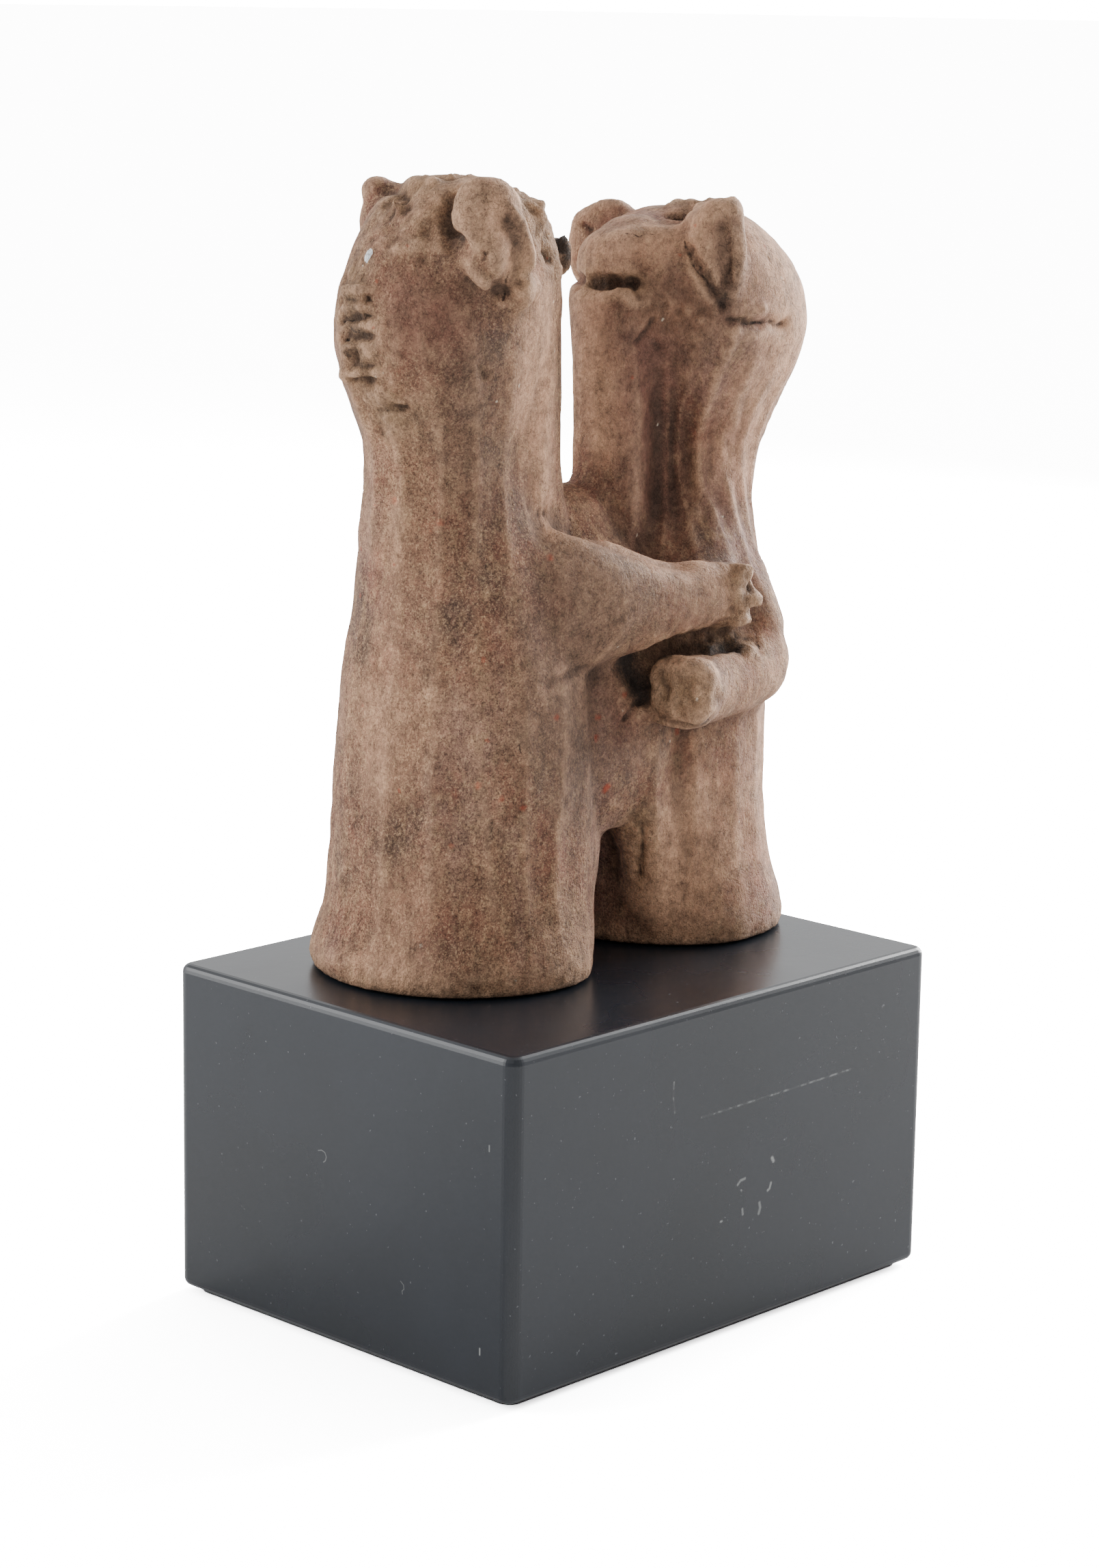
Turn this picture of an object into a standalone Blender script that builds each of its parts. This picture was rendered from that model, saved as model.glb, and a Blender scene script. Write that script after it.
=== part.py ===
"""Hand-modelled fired-clay pair of embracing animal-headed figures, on a satin black block.

Metres, Z up. The long side of the block runs along X. The origin is under the felt, at the block's middle.
"""

import math

import bmesh
import bpy
import numpy as np
from mathutils import Matrix, Vector

for old in list(bpy.data.objects):
    bpy.data.objects.remove(old, do_unlink=True)

# Driving sizes
FIGURE_HEIGHT = 0.116
PLINTH_LENGTH = 0.090
PLINTH_WIDTH = 0.070
PLINTH_HEIGHT = 0.050
PLINTH_EDGE_ROUND = 0.0012
PLINTH_CORNER_ROUND = 0.0021
FELT_THICKNESS = 0.0006
FELT_INSET = 0.0020
REST_GAP = 0.0003
PAIR_OFFSET_X = 0.0055
PAIR_OFFSET_Y = 0.0055

# Everything on the figure is counted in modules, 116 to its height.
MODULE = FIGURE_HEIGHT / 116.0
GRAIN = 0.80 * MODULE
SOLE_SNAP = 0.12 * MODULE
MOST_FACES = 8500

PLINTH_BASE = FELT_THICKNESS + REST_GAP
FIGURE_BASE = PLINTH_BASE + PLINTH_HEIGHT + REST_GAP

# Sections of the taller figure, which looks along +X: height, axis x, axis y, reach behind, reach in front,
# half width, squareness behind, squareness in front. In modules from the middle of the pair.
TALL_SECTIONS = (
    (0.0, -19.5, 1.0, 21.9, 16.2, 21.8, 2.0, 2.0),
    (2.5, -19.5, 1.0, 22.8, 16.4, 22.2, 2.0, 2.0),
    (6.0, -19.5, 1.0, 21.5, 17.3, 21.6, 2.0, 2.0),
    (10.0, -19.5, 1.0, 20.3, 18.6, 20.4, 2.0, 2.0),
    (18.0, -19.5, 1.0, 19.7, 20.9, 19.5, 2.0, 2.0),
    (30.0, -19.5, 1.0, 19.1, 20.4, 19.0, 2.0, 2.0),
    (42.0, -19.7, 0.9, 17.9, 18.5, 18.0, 2.0, 2.0),
    (50.0, -19.8, 0.8, 16.7, 17.0, 16.8, 2.0, 2.0),
    (58.0, -20.3, 0.7, 15.6, 14.5, 15.2, 2.0, 2.0),
    (66.0, -22.4, 0.7, 14.0, 12.4, 12.4, 2.0, 2.0),
    (72.0, -23.8, 0.7, 11.8, 11.2, 11.3, 2.0, 2.0),
    (78.0, -24.3, 0.7, 11.9, 11.2, 11.2, 2.0, 2.0),
    (84.0, -24.0, 0.7, 15.2, 13.0, 12.6, 2.0, 2.0),
    (92.0, -23.3, 0.7, 18.1, 14.5, 14.0, 2.1, 2.1),
    (98.0, -23.0, 0.7, 17.8, 14.8, 14.2, 2.1, 2.1),
    (103.0, -22.7, 0.7, 16.0, 15.0, 13.8, 2.1, 2.1),
    (107.0, -22.2, 0.7, 14.6, 12.8, 13.0, 2.1, 2.1),
    (110.5, -22.0, 0.7, 12.2, 11.8, 12.0, 2.1, 2.1),
    (113.5, -22.4, 0.7, 9.2, 9.3, 10.0, 2.1, 2.1),
    (115.4, -22.8, 0.7, 5.6, 4.8, 6.5, 2.1, 2.1),
)
# Sections of the shorter figure, which looks along -X.
SHORT_SECTIONS = (
    (0.0, 19.5, -1.0, 20.0, 16.0, 18.8, 2.4, 1.7),
    (2.5, 19.5, -1.0, 19.7, 16.0, 19.4, 2.4, 1.7),
    (6.0, 19.5, -1.0, 18.7, 15.6, 19.0, 2.4, 1.7),
    (10.0, 19.5, -1.0, 18.0, 15.4, 17.9, 2.3, 1.8),
    (15.0, 19.5, -1.0, 17.2, 16.0, 17.0, 2.3, 1.8),
    (22.0, 19.5, -1.0, 16.9, 20.0, 16.5, 2.2, 2.0),
    (30.0, 19.5, -1.0, 17.0, 20.0, 16.3, 2.2, 2.0),
    (40.0, 19.7, -1.0, 17.0, 19.0, 16.0, 2.2, 2.0),
    (48.0, 19.8, -1.0, 16.6, 17.0, 15.6, 2.2, 2.0),
    (56.0, 20.2, -0.9, 16.0, 14.0, 14.4, 2.1, 2.0),
    (62.0, 22.2, -0.8, 14.0, 11.5, 12.4, 2.0, 2.0),
    (68.0, 25.7, -0.9, 11.0, 9.5, 10.3, 2.0, 2.0),
    (74.0, 27.2, -1.0, 10.8, 9.5, 10.0, 2.0, 2.0),
    (80.0, 27.4, -1.3, 13.8, 11.0, 11.2, 2.0, 2.0),
    (86.0, 26.2, -1.5, 18.4, 13.5, 13.4, 2.1, 2.0),
    (92.0, 25.2, -1.7, 20.0, 15.0, 15.2, 2.2, 2.0),
    (98.0, 24.8, -1.7, 18.9, 15.0, 15.2, 2.2, 2.0),
    (102.0, 24.5, -1.6, 16.2, 14.5, 14.4, 2.2, 2.0),
    (105.0, 24.5, -1.4, 13.2, 12.5, 12.8, 2.1, 2.0),
    (108.0, 24.5, -1.2, 9.0, 10.0, 10.0, 2.1, 2.0),
    (109.7, 25.0, -1.0, 5.0, 6.5, 6.0, 2.0, 2.0),
)


def smooth_rows(rows, steps):
    """Rows of numbers passed through by a Catmull-Rom curve, each span cut into the same number of steps."""
    points = np.array(rows, dtype=float)
    padded = np.vstack((2 * points[0] - points[1], points, 2 * points[-1] - points[-2]))
    result = []
    for index in range(1, len(padded) - 2):
        before, start, end, after = padded[index - 1 : index + 3]
        for step in range(steps):
            t = step / steps
            result.append(
                0.5
                * (
                    2 * start
                    + (end - before) * t
                    + (2 * before - 5 * start + 4 * end - after) * t * t
                    + (3 * start - before - 3 * end + after) * t**3
                )
            )
    result.append(points[-1])
    return np.array(result)


def shell_from_rings(name, rings):
    """A closed shell through rings of equal count, capped with a fan at either end."""
    shape = bmesh.new()
    loops = [[shape.verts.new(point) for point in ring] for ring in rings]
    count = len(loops[0])
    for lower, upper in zip(loops, loops[1:]):
        for index in range(count):
            following = (index + 1) % count
            shape.faces.new((lower[index], lower[following], upper[following], upper[index]))
    for loop, turned in ((loops[0], True), (loops[-1], False)):
        middle = shape.verts.new(sum((corner.co for corner in loop), Vector()) / count)
        for index in range(count):
            pair = (loop[index], loop[(index + 1) % count])
            shape.faces.new((*(reversed(pair) if turned else pair), middle))
    bmesh.ops.recalc_face_normals(shape, faces=shape.faces)
    mesh = bpy.data.meshes.new(name)
    shape.to_mesh(mesh)
    shape.free()
    return mesh


def standing_form(name, sections, facing, below):
    """A body and head built up ring by ring, as a coil of clay, with its sole carried down to be cut flat."""
    rows = smooth_rows(sections, 4)
    first = rows[0].copy()
    first[0] = -below
    rings = []
    for height, x, y, behind, front, half, square_behind, square_front in np.vstack((first, rows)):
        ring = []
        for index in range(64):
            angle = 2 * math.pi * index / 64
            along, across = math.cos(angle), math.sin(angle)
            reach, square = (front, square_front) if along > 0 else (behind, square_behind)
            radius = (abs(along / reach) ** square + abs(across / half) ** square) ** (-1 / square)
            ring.append(Vector((x + facing * radius * along, y + radius * across, height)) * MODULE)
        rings.append(ring)
    return shell_from_rings(name, rings)


def rolled_form(name, stations, up=(0, 0, 1), rounded=(True, True), square=2.0):
    """A roll of clay: an oval section carried along a path of (x, y, z, half height, half thickness)."""
    rows = smooth_rows(stations, 5)
    centres = [Vector(row[:3]) for row in rows]
    rings = []
    for index, row in enumerate(rows):
        forward = (centres[min(index + 1, len(rows) - 1)] - centres[max(index - 1, 0)]).normalized()
        side = forward.cross(Vector(up)).normalized()
        lift = side.cross(forward).normalized()
        ends = []
        if index == 0 and rounded[0]:
            ends = [(-math.cos(a), math.sin(a)) for a in (0.25, 0.6, 1.0)]
        if index == len(rows) - 1 and rounded[1]:
            ends = [(math.cos(a), math.sin(a)) for a in (1.0, 0.6, 0.25)]
        if index == 0:
            ends = [*ends, (0, 1)]
        elif index == len(rows) - 1:
            ends = [(0, 1), *ends]
        else:
            ends = [(0, 1)]
        for push, share in ends:
            middle = centres[index] + forward * push * min(row[3], row[4])
            ring = []
            for corner in range(28):
                rise, out = (
                    math.copysign(abs(part) ** (2 / square), part)
                    for part in (math.sin(2 * math.pi * corner / 28), math.cos(2 * math.pi * corner / 28))
                )
                offset = lift * rise * row[3] + side * out * row[4]
                ring.append((middle + offset * share) * MODULE)
            rings.append(ring)
    return shell_from_rings(name, rings)


def pressed_tab(name, centre, sizes, yaw, lean, narrow, cup):
    """An ear: a pinched tab, narrower towards its root, with one face pressed hollow by a thumb."""
    length, thick, height = sizes
    turn = Matrix.Rotation(math.radians(yaw), 3, "Z") @ Matrix.Rotation(math.radians(lean), 3, "X")
    rings = []
    for level in range(1, 16):
        polar = math.pi * level / 16
        rise = -math.cos(polar)
        ring = []
        for corner in range(28):
            angle = 2 * math.pi * corner / 28
            x = math.cos(angle) * math.sin(polar)
            y = math.sin(angle) * math.sin(polar)
            spread = 1 - narrow * (0.5 - 0.5 * rise)
            hollow = cup * max(0.0, 1 - (x / 0.75) ** 2 - (rise / 0.75) ** 2)
            bend = hollow if y > 0 else 0.6 * hollow
            point = Vector((x * length * spread, y * thick + bend, rise * height))
            ring.append((Vector(centre) + turn @ point) * MODULE)
        rings.append(ring)
    return shell_from_rings(name, rings)


def lump(name, centre, sizes, yaw=0.0):
    """A plain pellet of clay pressed on."""
    return pressed_tab(name, centre, sizes, yaw, 0.0, 0.0, 0.0)


def figure_shells():
    """Every roll, tab and pellet of the pair, each one lapping well into its neighbours."""
    shells = [
        standing_form("tall_body", TALL_SECTIONS, 1, 2.0),
        standing_form("short_body", SHORT_SECTIONS, -1, 2.0),
    ]
    # The throats: a ridge that runs from each chest up into the muzzle
    shells.append(
        rolled_form(
            "tall_throat",
            (
                (-10.5, 0.4, 40.0, 8.5, 8.5),
                (-9.8, 0.3, 62.0, 6.8, 8.4),
                (-10.0, 0.2, 74.0, 5.8, 7.4),
                (-10.4, 0.2, 90.0, 5.8, 7.6),
                (-10.8, 0.3, 101.0, 5.8, 7.8),
            ),
            up=(1, 0, 0),
        )
    )
    shells.append(
        rolled_form(
            "short_throat",
            (
                (10.5, -0.6, 40.0, 8.5, 8.5),
                (9.6, -0.6, 62.0, 6.8, 6.0),
                (9.6, -0.6, 76.0, 6.1, 5.2),
                (9.8, -0.6, 86.0, 6.7, 6.0),
                (10.0, -0.7, 97.0, 7.2, 7.6),
            ),
            up=(1, 0, 0),
        )
    )
    # The wall of the neck between throat and nape, narrow on the shorter figure and widening to its cheeks
    shells.append(
        rolled_form(
            "tall_wall",
            (
                (-15.5, 0.5, 40.0, 9.0, 8.0),
                (-15.5, 0.5, 70.0, 9.0, 10.2),
                (-15.5, 0.5, 104.0, 9.0, 11.4),
            ),
            up=(1, 0, 0),
        )
    )
    shells.append(
        rolled_form(
            "short_wall",
            (
                (17.0, -0.8, 40.0, 9.0, 8.0),
                (17.0, -0.8, 70.0, 8.0, 4.0),
                (17.0, -0.8, 82.0, 8.5, 4.6),
                (17.2, -1.0, 91.0, 9.5, 9.6),
                (17.5, -1.0, 98.0, 10.0, 12.0),
            ),
            up=(1, 0, 0),
        )
    )
    # The muzzles, thrown up and back, the broken mouth of the taller one and the blunt nose of the shorter one
    shells.append(
        rolled_form(
            "tall_muzzle",
            (
                (-22.0, 0.5, 104.5, 8.0, 11.0),
                (-15.2, 0.3, 105.0, 6.6, 8.6),
                (-10.0, 0.3, 104.2, 4.6, 6.2),
            ),
        )
    )
    shells.append(
        rolled_form(
            "short_muzzle",
            (
                (24.0, -1.2, 100.4, 9.0, 12.0),
                (15.8, -1.0, 99.4, 8.0, 9.8),
                (9.8, -0.8, 97.8, 5.6, 7.4),
            ),
        )
    )
    shells.append(lump("tall_mouth", (-4.4, -0.6, 104.0), (2.0, 2.6, 2.0)))
    shells.append(lump("short_nose", (9.9, -0.6, 102.4), (5.4, 6.6, 4.8)))
    # The ears: centre, half sizes, turn, lean, narrowing, hollow
    for name, centre, sizes, yaw, lean, narrow, cup in (
        ("tall_near_ear", (-30.3, -13.6, 108.4), (7.4, 3.2, 8.4), -24.0, -10.0, 0.62, 1.2),
        ("tall_far_ear", (-23.6, 13.5, 107.6), (5.2, 3.2, 7.0), -20.0, 14.0, 0.3, -0.8),
        ("short_near_ear", (16.8, -14.0, 103.6), (4.8, 3.2, 8.6), -36.0, 4.0, 0.0, 1.6),
        ("short_far_ear", (23.1, 13.3, 102.5), (6.2, 3.0, 8.3), -44.0, 8.0, -0.1, -0.8),
    ):
        shells.append(pressed_tab(name, centre, sizes, yaw, lean, narrow, cup))
    shells.append(lump("short_near_ear_tip", (19.0, -15.4, 108.2), (1.7, 2.0, 4.4), -36.0))
    shells.append(lump("short_far_ear_corner", (20.6, 15.8, 106.0), (2.5, 2.4, 3.0), -44.0))
    # The bellies, pressed together above the gap between the feet, and the chests above them
    shells.append(
        rolled_form(
            "belly",
            (
                (-0.5, -0.8, 19.6, 8.0, 12.5),
                (-0.5, -0.8, 24.0, 13.0, 14.6),
                (-0.5, -0.8, 31.0, 16.0, 15.4),
                (0.0, -0.8, 38.0, 15.5, 14.2),
                (0.0, -0.4, 47.0, 13.0, 11.5),
                (0.0, 0.2, 56.0, 10.0, 10.0),
                (0.0, 0.6, 63.0, 7.0, 7.0),
            ),
            up=(1, 0, 0),
            rounded=(False, True),
            square=3.4,
        )
    )
    # The fold of clay that runs down from the belly over the front of the shorter figure's foot
    for side in (-1, 1):
        shells.append(
            rolled_form(
                "fold",
                (
                    (16.5, side * 10.2, 1.0, 6.4, 6.0),
                    (10.6, side * 10.6, 7.0, 5.6, 5.0),
                    (9.6, side * 10.6, 14.0, 5.6, 5.0),
                    (7.4, side * 10.4, 21.0, 6.6, 5.6),
                    (3.0, side * 9.2, 30.0, 8.0, 7.0),
                ),
                up=(1, 0, 0),
            )
        )
    # The arms of the taller figure lie over the sides of the shorter one
    for side in (-1, 1):
        y = side * 1.0
        shells.append(
            rolled_form(
                "tall_arm",
                (
                    (-19.0, y * 7.0, 53.0, 12.5, 8.0),
                    (-9.0, y * 12.0, 54.6, 10.6, 6.5),
                    (1.0, y * 14.8, 54.0, 7.6, 5.0),
                    (12.0, y * 16.4, 53.9, 5.0, 4.4),
                    (20.6, y * 17.0, 53.4, 4.7, 4.0),
                ),
                rounded=(True, False),
            )
        )
        shells.append(
            rolled_form(
                "short_arm",
                (
                    (25.4, y * 7.0, 57.0, 7.0, 6.0),
                    (26.8, y * 11.6, 49.6, 6.2, 5.2),
                    (26.9, y * 15.0, 42.8, 6.2, 5.4),
                    (20.0, y * 17.0, 41.0, 5.7, 5.2),
                    (12.0, y * 18.4, 40.4, 5.4, 5.2),
                    (3.6, y * 20.6, 40.3, 5.5, 5.5),
                ),
                up=(0, -0.3 * side, 1),
                rounded=(True, False),
            )
        )
    return shells


def mouth_cutters():
    """The slots pressed round the front of each muzzle."""
    return [
        rolled_form(
            "tall_slot",
            (
                (-11.5, -8.4, 104.2, 0.8, 1.4),
                (-7.0, -5.6, 103.8, 0.9, 1.4),
                (-4.9, 0.3, 103.6, 0.9, 1.4),
                (-7.0, 6.2, 103.8, 0.9, 1.4),
                (-11.5, 9.0, 104.2, 0.8, 1.4),
            ),
        ),
        rolled_form(
            "short_slot",
            (
                (10.5, -9.2, 99.2, 0.8, 1.3),
                (6.6, -6.9, 99.4, 1.0, 1.3),
                (4.6, -0.8, 99.5, 1.0, 1.3),
                (6.6, 5.3, 99.4, 1.0, 1.3),
                (10.5, 7.6, 99.2, 0.8, 1.3),
            ),
        ),
    ]


def join_meshes(name, meshes):
    joined = bmesh.new()
    for mesh in meshes:
        joined.from_mesh(mesh)
        bpy.data.meshes.remove(mesh)
    whole = bpy.data.meshes.new(name)
    joined.to_mesh(whole)
    joined.free()
    return whole


def with_modifiers(name, mesh, settings):
    """The mesh as it comes out of a run of modifiers."""
    worker = bpy.data.objects.new(name, mesh)
    bpy.context.scene.collection.objects.link(worker)
    for kind, values in settings:
        modifier = worker.modifiers.new(kind.title(), kind)
        for key, value in values.items():
            setattr(modifier, key, value)
    bpy.context.view_layer.update()
    result = bpy.data.meshes.new_from_object(worker.evaluated_get(bpy.context.evaluated_depsgraph_get()))
    bpy.data.objects.remove(worker, do_unlink=True)
    return result


def largest_body(shape):
    """Deletes everything but the largest connected piece of the mesh."""
    left = set(shape.verts)
    best = set()
    while left:
        stack = [left.pop()]
        group = set(stack)
        while stack:
            for edge in stack.pop().link_edges:
                for corner in edge.verts:
                    if corner in left:
                        left.discard(corner)
                        group.add(corner)
                        stack.append(corner)
        if len(group) > len(best):
            best = group
    bmesh.ops.delete(shape, geom=[corner for corner in shape.verts if corner not in best], context="VERTS")


def cut_flat(shape, level):
    """Cuts the soles flat and closes them."""
    cut = bmesh.ops.bisect_plane(
        shape,
        geom=[*shape.verts, *shape.edges, *shape.faces],
        plane_co=(0, 0, level),
        plane_no=(0, 0, -1),
        clear_outer=True,
    )
    edges = [item for item in cut["geom_cut"] if isinstance(item, bmesh.types.BMEdge)]
    filled = bmesh.ops.holes_fill(shape, edges=edges, sides=0)
    bmesh.ops.triangulate(shape, faces=filled["faces"])


def clay_mesh():
    """The pair as one skin of clay: shells united, joints rubbed smooth, soles cut flat."""
    rough = join_meshes("clay_shells", figure_shells())
    united = with_modifiers(
        "clay_union",
        rough,
        (
            ("REMESH", {"mode": "VOXEL", "voxel_size": GRAIN}),
            ("SMOOTH", {"factor": 0.5, "iterations": 6}),
        ),
    )
    slots = bpy.data.objects.new("mouth_slots", join_meshes("mouth_slots", mouth_cutters()))
    bpy.context.scene.collection.objects.link(slots)
    slots.hide_render = True
    slots.display_type = "WIRE"
    slotted = with_modifiers(
        "clay_slotted",
        united,
        (("BOOLEAN", {"operation": "DIFFERENCE", "solver": "EXACT", "object": slots}),),
    )
    bpy.data.objects.remove(slots, do_unlink=True)
    shape = bmesh.new()
    shape.from_mesh(slotted)
    cut_flat(shape, 0.0)
    largest_body(shape)
    bmesh.ops.triangulate(shape, faces=shape.faces)
    standing = bpy.data.meshes.new("clay_standing")
    shape.to_mesh(standing)
    shape.free()
    share = min(1.0, MOST_FACES / max(len(standing.polygons), 1))
    light = with_modifiers("clay_light", standing, (("DECIMATE", {"ratio": share}),))
    shape = bmesh.new()
    shape.from_mesh(light)
    for corner in shape.verts:
        if corner.co.z < SOLE_SNAP:
            corner.co.z = 0.0
    bmesh.ops.dissolve_degenerate(shape, dist=SOLE_SNAP / 20, edges=shape.edges)
    bmesh.ops.triangulate(shape, faces=shape.faces)
    bmesh.ops.recalc_face_normals(shape, faces=shape.faces)
    for face in shape.faces:
        face.smooth = abs(face.normal.z) < 0.999
    mesh = bpy.data.meshes.new("double_figure")
    shape.to_mesh(mesh)
    shape.free()
    return mesh


def rounded_slab(name, length, width, height, corner, edge):
    """A block with rounded upright corners and softened rims, standing on its underside."""
    shape = bmesh.new()
    bmesh.ops.create_cube(shape, size=1.0)
    bmesh.ops.scale(shape, vec=(length, width, height), verts=shape.verts)
    bmesh.ops.translate(shape, vec=(0, 0, height / 2), verts=shape.verts)
    upright = [item for item in shape.edges if abs(item.verts[0].co.z - item.verts[1].co.z) > height / 2]
    bevel = {"offset_type": "OFFSET", "profile": 0.5, "affect": "EDGES"}
    bmesh.ops.bevel(shape, geom=upright, offset=corner, segments=8, **bevel)
    if edge > 0:
        rim = [item for item in shape.edges if abs(item.verts[0].co.z - item.verts[1].co.z) < height / 1000]
        bmesh.ops.bevel(shape, geom=rim, offset=edge, segments=4, **bevel)
    bmesh.ops.recalc_face_normals(shape, faces=shape.faces)
    for face in shape.faces:
        face.smooth = face.calc_area() < 0.02 * length * height
    mesh = bpy.data.meshes.new(name)
    shape.to_mesh(mesh)
    shape.free()
    return mesh


def principled(name, colour, roughness):
    material = bpy.data.materials.new(name)
    material.use_nodes = True
    shader = material.node_tree.nodes["Principled BSDF"]
    shader.inputs["Base Color"].default_value = (*colour, 1.0)
    shader.inputs["Roughness"].default_value = roughness
    return material


def place(name, mesh, material, location):
    mesh.materials.clear()
    mesh.materials.append(material)
    piece = bpy.data.objects.new(name, mesh)
    piece.location = location
    bpy.context.scene.collection.objects.link(piece)
    return piece


# The pair of figures, one lump of clay fired together
place(
    "double_figure",
    clay_mesh(),
    principled("fired_clay", (0.30, 0.19, 0.13), 0.9),
    (PAIR_OFFSET_X, PAIR_OFFSET_Y, FIGURE_BASE),
)

# The block under it
place(
    "plinth",
    rounded_slab(
        "plinth", PLINTH_LENGTH, PLINTH_WIDTH, PLINTH_HEIGHT, PLINTH_CORNER_ROUND, PLINTH_EDGE_ROUND
    ),
    principled("satin_black_paint", (0.02, 0.02, 0.022), 0.45),
    (0, 0, PLINTH_BASE),
)

# The felt under the block
place(
    "felt_pad",
    rounded_slab(
        "felt_pad",
        PLINTH_LENGTH - 2 * FELT_INSET,
        PLINTH_WIDTH - 2 * FELT_INSET,
        FELT_THICKNESS,
        PLINTH_CORNER_ROUND,
        0.0,
    ),
    principled("wool_felt", (0.03, 0.03, 0.03), 1.0),
    (0, 0, 0),
)
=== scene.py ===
"""A hand-modelled fired-clay pair of embracing animal-headed figures, on a satin black block on felt."""

import math

import bmesh
import bpy
import numpy as np
from mathutils import Matrix, Vector


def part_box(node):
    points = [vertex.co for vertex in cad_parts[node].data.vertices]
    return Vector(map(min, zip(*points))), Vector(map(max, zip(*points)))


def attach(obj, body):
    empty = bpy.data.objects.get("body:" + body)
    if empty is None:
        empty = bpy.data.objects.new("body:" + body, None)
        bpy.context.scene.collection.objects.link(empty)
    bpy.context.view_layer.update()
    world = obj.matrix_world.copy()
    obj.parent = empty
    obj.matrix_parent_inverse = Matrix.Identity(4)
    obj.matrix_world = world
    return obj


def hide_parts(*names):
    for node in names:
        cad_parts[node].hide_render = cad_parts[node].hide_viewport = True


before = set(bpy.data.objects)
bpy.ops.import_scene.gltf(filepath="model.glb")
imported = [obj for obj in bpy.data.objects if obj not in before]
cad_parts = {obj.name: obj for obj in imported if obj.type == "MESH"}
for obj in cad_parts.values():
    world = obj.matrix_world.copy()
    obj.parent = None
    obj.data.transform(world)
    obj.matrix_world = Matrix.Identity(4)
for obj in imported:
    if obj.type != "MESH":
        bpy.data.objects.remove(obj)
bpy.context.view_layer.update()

# THE PAIR OF FIGURES
# One lump of coarse, sandy clay, coiled and pinched by hand, pared down with a blade while leather-hard,
# rubbed smooth in places and fired. It stands on the block by its own weight, with the old breaks and wear
# left as they are.
MM = 0.001
SKIN_GRAIN = 0.65
clay_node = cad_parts["double_figure"]


def round_lump(centre, halves, turn=0.0, lean=0.0, power=2.0):
    """An ellipsoid on a grid of longitude u and latitude v: halves times (cos v cos u, cos v sin u, sin v).

    Each cosine and sine is raised to 2 / power with its sign kept, so a power above 2 gives a squarer lump.
    The lump leans about X, then turns about Z, and moves to its centre. All in millimetres.
    """
    u, v = np.meshgrid(np.linspace(0, 2 * np.pi, 25)[:-1], np.linspace(-0.49 * np.pi, 0.49 * np.pi, 13))
    parts = (np.cos(v), np.sin(v), np.cos(u), np.sin(u))
    cos_v, sin_v, cos_u, sin_u = (np.sign(part) * np.abs(part) ** (2 / power) for part in parts)
    points = np.stack((cos_v * cos_u, cos_v * sin_u, sin_v), -1) * halves
    spin = Matrix.Rotation(math.radians(turn), 3, "Z") @ Matrix.Rotation(math.radians(lean), 3, "X")
    return points @ np.array(spin).T + centre


def clay_roll(path, halves, up=(0, 0, 1)):
    """An oval section carried along a path: path + side * width * cos u + lift * height * sin u.

    The path is sampled evenly between the given points, and halves gives (width, height) at each of them,
    in mm. The section closes in as a quarter circle at either end.
    """
    path, halves = np.array(path, float), np.array(halves, float)
    share = np.linspace(0, len(path) - 1, 6 * len(path))
    line = np.stack([np.interp(share, range(len(path)), path[:, k]) for k in range(3)], -1)
    sizes = np.stack([np.interp(share, range(len(path)), halves[:, k]) for k in range(2)], -1)
    ends = np.minimum(share, share[::-1])
    sizes = sizes * np.sqrt(np.clip(1 - (1 - np.clip(ends / 0.5, 0.02, 1)) ** 2, 0, 1))[:, None]
    along = np.gradient(line, axis=0)
    along /= np.linalg.norm(along, axis=1)[:, None]
    side = np.cross(along, up)
    side /= np.linalg.norm(side, axis=1)[:, None]
    lift = np.cross(side, along)
    u = np.linspace(0, 2 * np.pi, 19)[:-1]
    rise = (sizes[:, 1, None] * np.sin(u))[..., None] * lift[:, None]
    return line[:, None] + (sizes[:, 0, None] * np.cos(u))[..., None] * side[:, None] + rise


def grid_faces(rings, corners, start):
    """Quads between neighbouring rings of a grid, each ring closed on itself, and a face over either end."""
    at = start + np.arange(rings * corners).reshape(rings, corners)
    after = np.roll(at, -1, axis=1)
    quads = np.stack((at[:-1], after[:-1], after[1:], at[1:]), -1).reshape(-1, 4).tolist()
    return [*quads, at[0][::-1].tolist(), at[-1].tolist()]


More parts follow.
